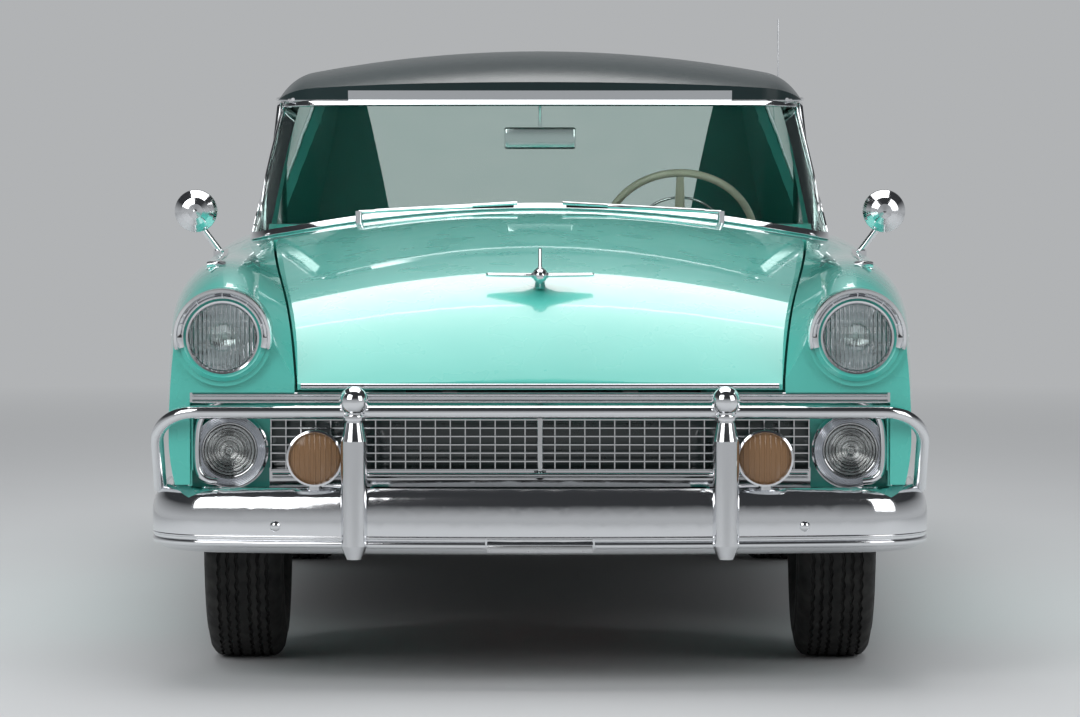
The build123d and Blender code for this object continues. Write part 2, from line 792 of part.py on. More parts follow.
def bumper_outline(face_station, sign, wrap, inset, height):
    """Half a bumper's plan outline at one height, drawn in from its face."""
    width = bumper_half_width - inset
    face, back = at(face_station) - sign * inset, at(face_station) - sign * wrap
    corner, bow = width - bumper_corner, sign * bumper_bow
    with BuildSketch(Plane.XY.offset(height)) as sketch:
        with BuildLine():
            front = TangentArc((0, face), (corner, face - bow), tangent=(1, 0))
            end = (width, face - bow - sign * bumper_turn)
            turn = TangentArc((corner, face - bow), end, tangent=front % 1)
            Polyline(turn @ 1, (width, back), (0, back), (0, face))
        make_face()
    return sketch.sketch.faces()[0]


def make_bumper(face_station, sign, wrap):
    """Half a rolled bumper bar that wraps round the corner, as a solid and the hollow inside it."""
    solid, hollow = [
        loft([bumper_outline(face_station, sign, wrap, inset + wall, height) for inset, height in BUMPER])
        for wall in (0, bumper_wall)
    ]
    return solid, hollow & box(0, far, 0, overall_length, 0, 1000)


# Bumper guard
guard_x = 445.0
guard_ball = 35.0
guard_tube = 16.0
guard_tube_z = 668.0
guard_reach = 922.0
guard_face = 26.0
guard_bend = 100.0
guard_corner, guard_end = guard_face + 40, guard_face + 225
front_bumper_face = 14.0
GUARD_COLUMNS = ("z_low", "z_high", "r_low", "r_high")
GUARD_POST = [(312, 344, 18, 32), (344, 596, 32, 32), (596, 640, 32, 21), (640, 680, 21, 21)]


def guard_post(x):
    """A round post, narrower at its foot and neck, with a ball cap on top."""
    station = guard_face + 10
    post = Pos(x, at(station), guard_tube_z + 24) * Sphere(guard_ball)
    for row in GUARD_POST:
        r = named(GUARD_COLUMNS, row)
        height = r["z_high"] - r["z_low"]
        place = Pos(x, at(station), r["z_low"] + height / 2)
        same = r["r_low"] == r["r_high"]
        post += place * (Cylinder(r["r_low"], height) if same else Cone(r["r_low"], r["r_high"], height))
    return post + along(x, station, station + 34, guard_tube_z - 2, 14)


def make_guard():
    """The tube bar over the front bumper with its two posts, and the bumper that they stand on."""
    high, low = guard_tube_z - 4, bumper_high - 10
    run = FilletPolyline(
        (-guard_reach, at(guard_end), low), (-guard_reach, at(guard_corner), high),
        (guard_reach, at(guard_corner), high), (guard_reach, at(guard_end), low), radius=guard_bend,
    )
    guard = sweep(Plane(origin=run @ 0, z_dir=run % 0) * Circle(guard_tube), path=run)
    for x in (-guard_x, guard_x):
        guard += guard_post(x)
    solid, hollow = make_bumper(front_bumper_face, -1, bumper_wrap)
    return outside(guard - whole(solid)), solid, hollow


front_bracket_x, rear_bracket_x = 385.0, 540.0
bracket_half_width = 22.0
plate_bar_half_width = 127.0
plate_bar_low, plate_bar_high = 331.0, 349.0
plate_hole_spacing = 178.0
plate_hole_radius = 3.5
plate_hole_z = (plate_bar_low + plate_bar_high) / 2


def make_front_bumper(solid, hollow):
    """The front bumper with its brackets to the frame and the bare bar for a plate."""
    bumper = whole(solid - hollow)
    for x in (-front_bracket_x, front_bracket_x):
        bumper += box(x - bracket_half_width, x + bracket_half_width, 34, 120, 362, 412)
    bumper += box(-plate_bar_half_width, plate_bar_half_width, 8, 30, plate_bar_low, plate_bar_high)
    for x in (-plate_hole_spacing / 2, plate_hole_spacing / 2):
        bumper -= along(x, 0, 60, plate_hole_z, plate_hole_radius)
    return bumper


def make_rear_bumper():
    solid, hollow = make_bumper(overall_length, 1, rear_bumper_wrap)
    bumper = whole(solid - hollow)
    for x in (-rear_bracket_x, rear_bracket_x):
        bumper += box(x - bracket_half_width, x + bracket_half_width, 4900, overall_length - 38, 432, 472)
    return bumper


# Fog lamps, tail lamps and small parts outside
fog_x = 540.0
fog_z = 553.0
fog_radius = 66.0
fog_rim = 6.0
fog_station = 60.0
fog_stem_radius = 12.0


def make_fog_lamps():
    """The driver's fog lamp on the stem that meets the bumper's top edge."""
    mouth = fog_radius - fog_rim
    shell = [(0, 74), (30, 70), (mouth, 30), (fog_radius, 8), (fog_radius, 0)]
    shell += [(mouth, 0), (mouth, 20), (0, 20)]
    stem = upright(fog_x, fog_station + 24, bumper_high - 2, fog_z - fog_radius + 3, fog_stem_radius)
    return spun_along(shell, fog_x, fog_station, fog_z) + stem


def make_fog_lenses():
    return both(spun_along(lens(fog_radius - fog_rim, 20, 10), fog_x, fog_station, fog_z))


tail_lamp_x = 762.0
tail_lamp_z = 742.0
tail_lamp_radius = 86.0


def make_tail_lamps():
    r = tail_lamp_radius
    profile = [(0, 60), (r - 26, 60), (r - 8, 40), (r, 10), (r, 0), (0, 0)]
    return both(spun_along(profile, tail_lamp_x, tail_station, tail_lamp_z))


mirror_x = 934.0
mirror_radius = 58.0
mirror_z = 1098.0
mirror_station = 1950.0


mirror_bowl_depth = 34.0
mirror_foot_x = mirror_x - 66
mirror_foot_station = mirror_station + 30


def make_mirrors(blocked):
    """The round mirrors with domed backs, each on an arm from a foot on the fender."""
    turns = [radians(a) for a in (0, 20, 40, 60, 78, 90)]
    bowl = [(mirror_radius * sin(a), 10 - mirror_bowl_depth * cos(a)) for a in turns]
    head = spun_along(bowl + [(mirror_radius, 20), (0, 20)], mirror_x, mirror_station, mirror_z)
    top = (mirror_x - 12, mirror_station + 16, mirror_z - 40)
    arm = rod(top, (mirror_foot_x, mirror_foot_station, 985), 9)
    foot = upright(mirror_foot_x, mirror_foot_station, 950, 990, 20)
    return both(outside(head + arm + foot - blocked))


wiper_x, wiper_station, wiper_z = 485.0, 1764.0, 1103.0


def make_wipers(blocked):
    """Each wiper's pivot, its arm and its blade along the foot of the windshield."""
    wiper = upright(wiper_x, wiper_station, wiper_z - 53, wiper_z, 10)
    wiper += rod((wiper_x, wiper_station, wiper_z - 3), (180, 1706, 1116), 5)
    wiper += rod((440, 1748, 1104), (60, 1690, 1126), 5)
    return both(outside(wiper - blocked - glass_half))


antenna_x, antenna_station, antenna_top = 735.0, 4180.0, 1634.0


def make_antenna(blocked):
    mast = upright(antenna_x, antenna_station, 950, antenna_top, 3)
    return outside(mast + upright(antenna_x, antenna_station, 950, 1010, 12) - blocked)


ornament_low, ornament_high = 972.0, 984.0
ornament_radius = 20.0
ORNAMENT_WING = [(0, 404), (36, 424), (134, 470), (132, 486), (44, 490), (0, 520)]
ORNAMENT_FIN = [(430, 985), (500, 1038), (540, 1046), (575, 985), (560, 940), (430, 940)]


def make_hood_ornament(hood):
    """A bullet with a pair of wings and a fin, from (x, station) and (station, height) outlines."""
    other_wing = [(-x, s) for x, s in ORNAMENT_WING[-2:0:-1]]
    wings = plan_prism(ORNAMENT_WING + other_wing, ornament_low, ornament_high)
    middle = (ornament_low + ornament_high) / 2
    bullet = along(0, 392, 560, middle, ornament_radius)
    bullet += Pos(0, at(392), middle) * Sphere(ornament_radius)
    fin = side_prism(ORNAMENT_FIN, -5, 5)
    return outside((wings + bullet + fin) - hood - box(-200, 200, 300, 700, 0, 900))


# Cabin
dash_half_width = 696.0
column_angle = 30.0
wheel_hub = (390.0, 2470.0, 1012.0)
steering_rim = 210.0
column_radius = 26.0
shaft_radius = 12.0


def column_point(distance):
    """A point on the steering column's axis, ahead of the steering wheel's hub."""
    x, station, z = wheel_hub
    return (x, station - distance * cos(radians(column_angle)), z - distance * sin(radians(column_angle)))


def column_plane(distance):
    x, station, z = column_point(distance)
    direction = (0, -cos(radians(column_angle)), -sin(radians(column_angle)))
    return Plane(origin=(x, at(station), z), x_dir=(1, 0, 0), z_dir=direction)


DASH_SIDE = [
    (1770, 1066), (2190, 1058), (2262, 1030), (2250, 945),
    (2200, 870), (2130, 870), (2120, 1010), (1770, 1010),
]
dash_reach = 735.0
column_start, column_end, column_seat_end = 60.0, 830.0, 700.0


def make_dashboard(blocked):
    """The dashboard, from its (station, height) outline, with the steering column fused to it."""
    dash = side_prism(DASH_SIDE, -dash_reach, dash_reach) & glass_ledge
    side_space = box(dash_half_width, far, door_front - 40, door_rear, 0, 1200)
    dash -= mirrored(side_space) + side_space
    column = rod(column_point(column_start), column_point(column_end), column_radius)
    column -= rod(column_point(0), column_point(140), shaft_radius + running_gap)
    dash = dash - rod(column_point(column_start), column_point(column_seat_end), column_radius)
    return cut(dash + column, *blocked)


steering_tube = 11.0
steering_hub_radius = 34.0


def make_steering_wheel():
    """The rim, three spokes, the hub and the shaft that turns in the column."""
    plane = column_plane(0)
    rim = plane * Torus(steering_rim, steering_tube)
    hub = plane * Cylinder(steering_hub_radius, 40)
    wheel = rim + hub + rod(column_point(-10), column_point(130), shaft_radius)
    for angle in (0, 180, 270):
        wheel += plane * Rot(0, 0, angle) * Pos(steering_rim / 2, 0, 0) * Box(steering_rim, 26, 12)
    return wheel


front_seat_half_width, rear_seat_half_width = 640.0, 560.0
front_seat_low = RAIL[2][2] + rail_height + floor_thickness + seat_gap
rear_seat_low = RAIL[5][2] + rail_height + floor_thickness + seat_gap
FRONT_BENCH = [
    (2560, front_seat_low), (3130, front_seat_low), (3260, 930), (3180, 950),
    (3060, 600), (3060, 560), (2560, 600),
]
REAR_BENCH = [
    (3420, rear_seat_low), (3900, rear_seat_low), (4000, 960), (3930, 970),
    (3800, 700), (3800, 660), (3420, 700),
]


def make_front_seat(blocked):
    seat = side_prism(FRONT_BENCH, -front_seat_half_width, front_seat_half_width)
    return cut(seat, tunnel(0) & box(-far, far, 2000, 3500, 0, 700), *blocked)


def make_rear_seat(blocked):
    return cut(side_prism(REAR_BENCH, -rear_seat_half_width, rear_seat_half_width), *blocked)


# Under the body
ENGINE_BLOCK_COLUMNS = ("half_width", "front", "rear", "z_low", "z_high")
ENGINE_BLOCKS = [(250, 640, 1290, 560, 840), (150, 700, 1290, 428, 560)]
ENGINE_DRUM_COLUMNS = ("front", "rear", "z", "radius")
ENGINE_DRUMS = [(1280, 1560, 500, 150), (1560, 1960, 450, 84), (560, 640, 640, 40)]
air_cleaner_station, air_cleaner_radius, air_cleaner_height = 940.0, 170.0, 80.0


def make_engine(blocked):
    """The engine and gearbox as one plain block, from the fan's boss to the shaft's flange."""
    engine = upright(0, air_cleaner_station, 840, 840 + air_cleaner_height, air_cleaner_radius)
    for r in [named(ENGINE_BLOCK_COLUMNS, row) for row in ENGINE_BLOCKS]:
        engine += box(-r["half_width"], r["half_width"], r["front"], r["rear"], r["z_low"], r["z_high"])
    for r in [named(ENGINE_DRUM_COLUMNS, row) for row in ENGINE_DRUMS]:
        engine += along(0, r["front"], r["rear"], r["z"], r["radius"])
    return cut(engine, *blocked)


def make_radiator():
    return box(-330, 330, 410, 470, 428, 850) + box(-350, 350, 410, 430, 400, 428)


# Front suspension
arm_thickness = 25.0
arm_outer_x = 660.0
lower_arm_x, lower_arm_spread = 300.0, 130.0
upper_arm_spread = 80.0
shock_x, shock_radius = 510.0, 26.0
tower_low, tower_high = 600.0, 640.0


def make_arm(z, inner_x, spread):
    """A wishbone seen from above: wide at the frame, narrow at the knuckle, open in its middle."""
    outline = [
        (arm_outer_x, front_axle - 26), (arm_outer_x, front_axle + 26),
        (inner_x, front_axle + spread), (inner_x - 40, front_axle + spread),
        (inner_x - 40, front_axle - spread), (inner_x, front_axle - spread),
    ]
    window = [
        (590, front_axle - 8), (590, front_axle + 8), (inner_x + 30, front_axle + spread - 44),
        (inner_x + 30, front_axle - spread + 44),
    ]
    return plan_prism(outline, z, z + arm_thickness) - plan_prism(window, z - 1, z + arm_thickness + 1)


def make_front_suspension():
    """The driver's pair of wishbones with the damper and its tower."""
    under = knuckle_low - seat_gap
    side = make_arm(under - arm_thickness, lower_arm_x, lower_arm_spread)
    side += make_arm(knuckle_high + seat_gap, apron_x + apron_wall + 40, upper_arm_spread)
    side += upright(shock_x, front_axle, under, tower_high, shock_radius)
    side += box(apron_x + apron_wall, 560, front_axle - 60, front_axle + 60, tower_low, tower_high)
    return side - upright(kingpin_x, front_axle, 200, 500, kingpin_radius + running_gap)


kingpin_x = 640.0
kingpin_radius = 10.0
kingpin_end = 24.0
kingpin_boss = 26.0
knuckle_low, knuckle_high = 300.3, 427.7
wheel_outer_shift = front_track / 2
plate_radius = 160.0


def make_knuckle():
    """The upright with its kingpin, spindle, backing plate and steering arm."""
    post = upright(kingpin_x, front_axle, knuckle_low, knuckle_high, kingpin_boss)
    low, high = knuckle_low - kingpin_end, knuckle_high + kingpin_end
    post += upright(kingpin_x, front_axle, low, high, kingpin_radius)
    spindle = across(kingpin_x, wheel_outer_shift + 6, front_axle, axle_height, spindle_radius)
    plate = across(wheel_outer_shift - 60, wheel_outer_shift - 50, front_axle, axle_height, plate_radius)
    arm = box(590, kingpin_x, front_axle + 10, front_axle + 150, knuckle_low, knuckle_low + 18)
    return post + spindle + plate + arm


# Rear axle
axle_tube_radius, differential_radius = 40.0, 124.0
shaft_start, propeller_radius = (0, 1962, 450), 36.0
leaf_x, leaf_half_width = 540.0, 30.0
LEAF_TOP = [(4290, 420), (4040, 356), (3794, 338), (3560, 340), (3296, 352)]
LEAF_BOTTOM = [(3296, 326), (3560, 314), (3794, 312), (4040, 330), (4290, 392)]


def make_rear_axle(blocked):
    """The live axle with its differential, brake plates, leaf springs and propeller shaft."""
    half_track = rear_track / 2
    axle = across(60 - half_track, half_track - 60, rear_axle, axle_height, axle_tube_radius)
    axle += Pos(0, at(rear_axle), axle_height) * Sphere(differential_radius)
    axle += along(0, 3600, rear_axle, axle_height + 8, 60)
    for side in (-1, 1):
        x, leaf = side * (half_track - 55), side * leaf_x
        axle += across(x - 5, x + 5, rear_axle, axle_height, plate_radius)
        axle += across(side * 600, side * (half_track + 6), rear_axle, axle_height, spindle_radius)
        axle += side_prism(LEAF_BOTTOM + LEAF_TOP, leaf - leaf_half_width, leaf + leaf_half_width)
        axle += box(leaf - leaf_half_width - 4, leaf + leaf_half_width + 4, 4270, 4296, 392, 440)
    axle += rod((0, 3610, axle_height + 8), shaft_start, propeller_radius)
    return cut(axle, *blocked)


# Exhaust and tank
exhaust_x, exhaust_radius, exhaust_bend = 300.0, 22.0, 90.0
EXHAUST_RUN = [(1330, 262), (3180, 262), (3560, 432), (4100, 432), (4330, 372), (4990, 372)]
muffler_half_width = 90.0


def make_exhaust(blocked):
    """The pipe along its (station, height) run, with its muffler and hanger."""
    run = FilletPolyline(*[(exhaust_x, at(s), z) for s, z in EXHAUST_RUN], radius=exhaust_bend)
    pipe = sweep(Plane(origin=run @ 0, z_dir=run % 0) * Circle(exhaust_radius), path=run)
    muffler = box(exhaust_x - muffler_half_width, exhaust_x + muffler_half_width, 2420, 2900, 205, 300)
    hanger = box(exhaust_x - 10, exhaust_x + 10, 4180, 4200, 380, 470)
    return cut(pipe + cut(muffler, *blocked) + hanger, *blocked)


def make_fuel_tank(blocked):
    return cut(box(-430, 230, 4320, 4760, 300, 510), *blocked)


def tyre_profile():
    """A tyre's section as (offset outwards, radius) pairs, open at its beads."""
    r, w, b = tyre_diameter / 2, tyre_width / 2, rim_diameter / 2
    t, bead = tread_width / 2, rim_width / 2
    half = [(bead, b), (bead, b + rim_flange), (w, b + 62), (w, b + 100), (t + 4, r - 8), (t - 8, r)]
    outer = [(-x, radius) for x, radius in half] + half[::-1]
    inner = [(bead - 16, b), (w - tyre_wall, b + 70), (t - 6, r - tyre_wall - 6)]
    return outer + inner + [(-x, radius) for x, radius in reversed(inner)]


def wheel_profile():
    """A wheel's section as (offset outwards, radius) pairs: hub, drum, rim and domed centre."""
    b, h, d = rim_diameter / 2, rim_width / 2, drum_radius
    bore = spindle_radius + running_gap
    drum = [(-hub_back, bore), (-hub_back, hub_radius), (-6, hub_radius), (-6, d - 8), (-44, d - 8), (-44, d)]
    rim = [(-h - 6, b - rim_wall), (-h - 6, b + rim_flange), (-h, b + rim_flange), (-h, b)]
    rim += [(-x, radius) for x, radius in reversed(rim)]
    centre = [(30, b - rim_wall - 4), (24, 120), (40, 90), (52, 40), (54, 0), (8, 0), (8, bore)]
    return drum + [(-6, d), (-6, b - rim_wall)] + rim + centre


def save(shape, name):
    solids = shape if isinstance(shape, list) else list(shape.solids())
    out = solids[0] if len(solids) == 1 else Compound(children=solids)
    out.label = name
    export_step(out, f"parts/{name}.step")


def save_pair(shape, name):
    """Writes the driver's piece and its mirrored twin."""
    save(shape, name + "_left")
    save(mirrored(shape), name + "_right")


if __name__ == "__main__":
    os.makedirs("parts", exist_ok=True)
    frame = make_frame()
    save(frame, "chassis_frame")
    hood = make_hood()
    save(hood, "hood")
    save(make_hood_ornament(hood), "hood_ornament")
    save(make_deck_lid(), "deck_lid")
    fender = make_fender() + make_apron()
    fenders = [fender, mirrored(fender)]
    save(fenders[0], "fender_left")
    save(fenders[1], "fender_right")
    cowl = cut(make_cowl(), *fenders)
    save(cowl, "cowl")
    save(make_rear_deck(), "rear_deck")
    save(make_tail_panel(), "tail_panel")
    save_pair(make_door(), "door")
    save_pair(make_door_handle(), "door_handle")
    quarter = make_quarter()
    quarters = [quarter, mirrored(quarter)]
    save(quarters[0], "quarter_left")
    save(quarters[1], "quarter_right")
    roof = make_roof()
    save(roof, "roof")
    windshield = make_windshield()
    save(windshield, "windshield")
    save(make_rear_glass(), "rear_glass")
    save_pair(make_door_glass(), "door_glass")
    floor = make_floor(quarters + fenders + [frame])
    save(floor, "floor_pan")
    save(make_surround(), "grille_surround")
    save(make_grille(), "grille")
    save(make_lamp_bezels(), "lamp_bezels")
    save(make_lamp_lenses(), "lamp_lenses")
    save(make_visors(), "headlamp_visors")
    guard, solid, hollow = make_guard()
    save(guard, "bumper_guard")
    front_bumper = make_front_bumper(solid, hollow)
    save(front_bumper, "front_bumper")
    save(make_rear_bumper(), "rear_bumper")
    save(both(make_fog_lamps() - front_bumper), "fog_lamps")
    save(make_fog_lenses(), "fog_lenses")
    save(make_tail_lamps(), "tail_lamps")
    save(make_mirrors(fender), "mirrors")
    save(make_wipers(cowl), "wipers")
    save(make_antenna(quarters[0]), "antenna")
    save(make_dashboard([cowl, *fenders, roof, windshield]), "dashboard")
    save(make_steering_wheel(), "steering_wheel")
    save(make_front_seat([floor]), "front_seat")
    save(make_rear_seat([floor, *quarters]), "rear_seat")
    save(make_engine([frame, cowl, floor]), "engine")
    save(make_radiator() - frame, "radiator")
    save(whole(make_front_suspension()) - frame, "front_suspension")
    save_pair(make_knuckle(), "knuckle")
    save(make_rear_axle([frame]), "rear_axle")
    exhaust = make_exhaust([frame, floor])
    save(exhaust, "exhaust")
    save(make_fuel_tank([frame, exhaust, floor]), "fuel_tank")
    for end, station, track in (("front", front_axle, front_track), ("rear", rear_axle, rear_track)):
        save_pair(spun_across(tyre_profile(), track / 2, station, axle_height), f"tyre_{end}")
        save_pair(spun_across(wheel_profile(), track / 2, station, axle_height), f"wheel_{end}")
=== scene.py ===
"""Dresses a full-size two-door hardtop of the mid 1950s: paint, bright metal, glass, seats and trim.

X is across the car with the driver's side positive, Y runs from the nose to the tail and Z is up.
A station is a distance behind the foremost face of the car, in metres.
"""

from math import cos, pi, radians, sin

import bmesh
import bpy
from bpy.props import FloatProperty, FloatVectorProperty, IntProperty, PointerProperty
from mathutils import Matrix, Vector


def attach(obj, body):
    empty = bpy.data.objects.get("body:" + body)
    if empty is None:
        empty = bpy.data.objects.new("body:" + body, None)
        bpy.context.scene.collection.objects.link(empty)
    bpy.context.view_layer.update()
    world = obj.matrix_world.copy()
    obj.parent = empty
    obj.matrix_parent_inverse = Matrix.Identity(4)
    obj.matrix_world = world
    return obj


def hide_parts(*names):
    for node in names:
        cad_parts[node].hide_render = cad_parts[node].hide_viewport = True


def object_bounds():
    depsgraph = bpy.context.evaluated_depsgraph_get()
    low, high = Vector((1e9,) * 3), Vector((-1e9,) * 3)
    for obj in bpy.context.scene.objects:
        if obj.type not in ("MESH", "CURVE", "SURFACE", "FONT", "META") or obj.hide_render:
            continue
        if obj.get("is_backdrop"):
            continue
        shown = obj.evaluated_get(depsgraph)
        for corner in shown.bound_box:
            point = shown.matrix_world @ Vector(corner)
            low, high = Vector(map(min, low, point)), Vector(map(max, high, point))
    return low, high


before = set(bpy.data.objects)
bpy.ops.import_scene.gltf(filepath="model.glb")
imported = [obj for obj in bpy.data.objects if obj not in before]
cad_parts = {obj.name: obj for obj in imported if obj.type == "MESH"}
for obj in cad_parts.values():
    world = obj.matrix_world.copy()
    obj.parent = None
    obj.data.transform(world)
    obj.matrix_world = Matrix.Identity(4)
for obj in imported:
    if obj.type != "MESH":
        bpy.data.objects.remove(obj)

bl_info = {
    "name": "Mid 1950s two-door hardtop",
    "version": (1, 0, 0),
    "blender": (4, 5, 0),
    "location": "View3D > Sidebar > Car",
    "description": "Adds the finishes, seats, lamps and trim of a two-door hardtop",
    "category": "Add Mesh",
}

# Places shared with the solids
half_length = 2.52
tyre_radius = 0.355
front_axle = 0.860
rear_axle = 3.794
front_track = 1.474
rear_track = 1.424
headlamp = (0.761, 0.088, 0.842)
parking_lamp = (0.749, 0.160, 0.566)
fog_lamp = (0.540, 0.060, 0.553)
tail_lamp = (0.762, 4.962, 0.742)
wheel_hub = (0.390, 2.470, 1.012)
column_angle = radians(30)
grille_high = 0.708
dial_height = 0.968
fan_centre = (0, 0.545, 0.64)
cleaner_station = 0.94
behind_lens = Vector((0, 0.004, 0))
fog_rib_spacing = 0.0125

# The studio
backdrop = (0.44, 0.45, 0.46)
ceiling = (0.035, 0.037, 0.040)
daylight = 0.80
lamp_level = 0.8
camera_distance = 14.0
camera_height = 1.5
camera_tilt = 2.88

# The bodies that pieces ride on, left first
sides = (("left", 1), ("right", -1))
fixed = ("body", "body")
doors = ("door_left", "door_right")
front_wheels = ("wheel_front_left", "wheel_front_right")
rear_wheels = ("wheel_rear_left", "wheel_rear_right")
ends = (("front", front_axle, front_track), ("rear", rear_axle, rear_track))


def at(station):
    """The Y place of a station behind the foremost face."""
    return station - half_length


def place(x, station, z):
    """The point at a place across, a station and a height."""
    return Vector((x, at(station), z))


class CarColours(bpy.types.PropertyGroup):
    """The colours and finishes that a user would change."""

    body: FloatVectorProperty(
        name="Body", description="Colour of the body paint", subtype="COLOR",
        size=3, min=0, max=1, default=(0.095, 0.590, 0.500),
    )
    roof: FloatVectorProperty(
        name="Roof", description="Colour of the roof paint", subtype="COLOR",
        size=3, min=0, max=1, default=(0.006, 0.020, 0.022),
    )
    trim: FloatVectorProperty(
        name="Inner trim", description="Colour of the painted trim inside", subtype="COLOR",
        size=3, min=0, max=1, default=(0.070, 0.420, 0.360),
    )
    cloth: FloatVectorProperty(
        name="Seat insert", description="Colour of the pleated seat inserts", subtype="COLOR",
        size=3, min=0, max=1, default=(0.720, 0.780, 0.740),
    )
    ivory: FloatVectorProperty(
        name="Ivory", description="Colour of the steering wheel and knobs", subtype="COLOR",
        size=3, min=0, max=1, default=(0.760, 0.720, 0.560),
    )
    floor: FloatVectorProperty(
        name="Floor", description="Colour of the studio floor", subtype="COLOR",
        size=3, min=0, max=1, default=(0.620, 0.630, 0.640),
    )


class CarSizes(bpy.types.PropertyGroup):
    """The sizes that a user would change."""

    moulding: FloatProperty(
        name="Moulding", description="Width of the bright mouldings round the glass",
        default=0.016, min=0.006, max=0.03, unit="LENGTH",
    )
    spear: FloatProperty(
        name="Side spear", description="Height of the bright strip along the side",
        default=0.026, min=0.01, max=0.06, unit="LENGTH",
    )
    groove: FloatProperty(
        name="Tread groove", description="Depth of the tread's grooves",
        default=0.007, min=0.002, max=0.012, unit="LENGTH",
    )
    pleat: FloatProperty(
        name="Pleat", description="Distance between the sewn pleats of a seat",
        default=0.062, min=0.03, max=0.15, unit="LENGTH",
    )
    puff: FloatProperty(
        name="Puff", description="The most that a seat's cover may swell",
        default=0.016, min=0.0, max=0.04, unit="LENGTH",
    )
    blocks: IntProperty(
        name="Tread blocks", description="Number of blocks round a tyre", default=64, min=24, max=120,
    )
    lens: FloatProperty(
        name="Camera lens", description="Focal length on a 36 mm sensor", default=196.0, min=35, max=400,
    )


def arithmetic(operation, swapped=False):
    """A method that puts a maths node between a socket and another value."""
    def method(self, other):
        return self.maker.math(operation, *((other, self) if swapped else (self, other)))
    return method


class Wire:
    """A socket of a material's nodes that takes part in plain arithmetic."""

    def __init__(self, maker, socket):
        self.maker, self.socket = maker, socket

    def __abs__(self):
        return self.maker.math("ABSOLUTE", self)

    __add__ = arithmetic("ADD")
    __sub__ = arithmetic("SUBTRACT")
    __rsub__ = arithmetic("SUBTRACT", swapped=True)
    __mul__ = arithmetic("MULTIPLY")
    __gt__ = arithmetic("GREATER_THAN")
    __lt__ = arithmetic("LESS_THAN")
    __or__ = arithmetic("MAXIMUM")


class Finish:
    """A material under construction: its main shader and the nodes that feed it."""

    def __init__(self, name, **constants):
        self.material = bpy.data.materials.new(name)
        self.material.use_nodes = True
        self.tree = self.material.node_tree
        self.shader = self.tree.nodes["Principled BSDF"]
        for socket, value in constants.items():
            self.shader.inputs[socket.replace("_", " ")].default_value = value
        self.coordinates = self.tree.nodes.new("ShaderNodeTexCoord")
        self.place = Wire(self, self.coordinates.outputs["Object"])

    def node(self, kind, settings, *values, out=0, **named):
        """A node with its settings and its sockets fed, by their order or by name."""
        node = self.tree.nodes.new(kind)
        for setting, value in settings.items():
            setattr(node, setting, value)
        sockets = list(zip(node.inputs, values))
        sockets += [(node.inputs[name.replace("_", " ")], value) for name, value in named.items()]
        for socket, value in sockets:
            self.feed(socket, value)
        return Wire(self, node.outputs[out])

    def feed(self, socket, value):
        """Links a wire to a socket, or sets the socket to a plain value."""
        if isinstance(value, Wire):
            self.tree.links.new(value.socket, socket)
        else:
            socket.default_value = value

    def math(self, operation, *values):
        return self.node("ShaderNodeMath", {"operation": operation}, *values)

    def axes(self, vector=None):
        """The three parts of a vector, or of the place on the piece."""
        vector = vector or self.place
        return [self.node("ShaderNodeSeparateXYZ", {}, vector, out=i) for i in range(3)]

    def facing(self):
        """The three parts of the surface's own direction."""
        return self.axes(Wire(self, self.coordinates.outputs["Normal"]))

    def mix(self, factor, first, second):
        """A blend of two colours, from the first at 0 to the second at 1."""
        node = self.tree.nodes.new("ShaderNodeMix")
        node.data_type = "RGBA"
        for index, value in ((0, factor), (6, first), (7, second)):
            if index and not isinstance(value, Wire):
                value = (*value[:3], 1.0)
            self.feed(node.inputs[index], value)
        return Wire(self, node.outputs[2])

    def noise(self, scale, detail=3.0, stretch=(1, 1, 1)):
        spread = self.node("ShaderNodeVectorMath", {"operation": "MULTIPLY"}, self.place, stretch)
        return self.node("ShaderNodeTexNoise", {}, Vector=spread, Scale=scale, Detail=detail)

    def ramp(self, value, low, high, out_low=0.0, out_high=1.0):
        """A value brought from one range to another, and held inside it."""
        return self.node("ShaderNodeMapRange", {"clamp": True}, value, low, high, out_low, out_high)

    def cells(self, scale):
        return self.node("ShaderNodeTexVoronoi", {}, Vector=self.place, Scale=scale)

    def uneven(self, scale, low, high):
        """A level that drifts between two values."""
        return self.ramp(self.noise(scale), 0.3, 0.7, low, high)

    def mottled(self, colour, scale, dark, pale):
        """A colour that drifts between a darker and a paler tone."""
        return self.mix(self.uneven(scale, 0.0, 1.0), tone(colour, dark), tone(colour, pale))

    def wave(self, value, spacing):
        """A smooth ripple between -1 and 1 with one crest in each spacing."""
        return self.math("SINE", value * (2 * pi / spacing))

    def root(self, value):
        return self.math("SQRT", value)

    def bump(self, height, strength, distance):
        wire = self.node("ShaderNodeBump", {}, Strength=strength, Distance=distance, Height=height)
        self.feed(self.shader.inputs["Normal"], wire)

    def set(self, **links):
        """Feeds the main shader and gives back the finished material."""
        for socket, value in links.items():
            self.feed(self.shader.inputs[socket.replace("_", " ")], value)
        return self.material


class Backdrop(Finish):
    """The world's nodes, fed in the same way as a material's."""

    def __init__(self, world):
        self.tree = world.node_tree
        self.shader = self.tree.nodes["Background"]
        self.coordinates = self.tree.nodes.new("ShaderNodeTexCoord")
        self.place = Wire(self, self.coordinates.outputs["Generated"])


def seen_directly(f):
    """Whether a ray comes from the camera, a reflection or a look through glass."""
    path = f.tree.nodes.new("ShaderNodeLightPath")
    camera, glossy, through = (
        Wire(f, path.outputs[name]) for name in ("Is Camera Ray", "Is Glossy Ray", "Is Transmission Ray")
    )
    return camera | glossy | through


def tone(colour, share):
    """A colour made darker or paler."""
    return tuple(min(1.0, c * share) for c in colour)


def colours():
    """The colours set for this scene."""
    return bpy.context.scene.car_colours


def sizes():
    """The sizes set for this scene."""
    return bpy.context.scene.car_sizes


# Finishes


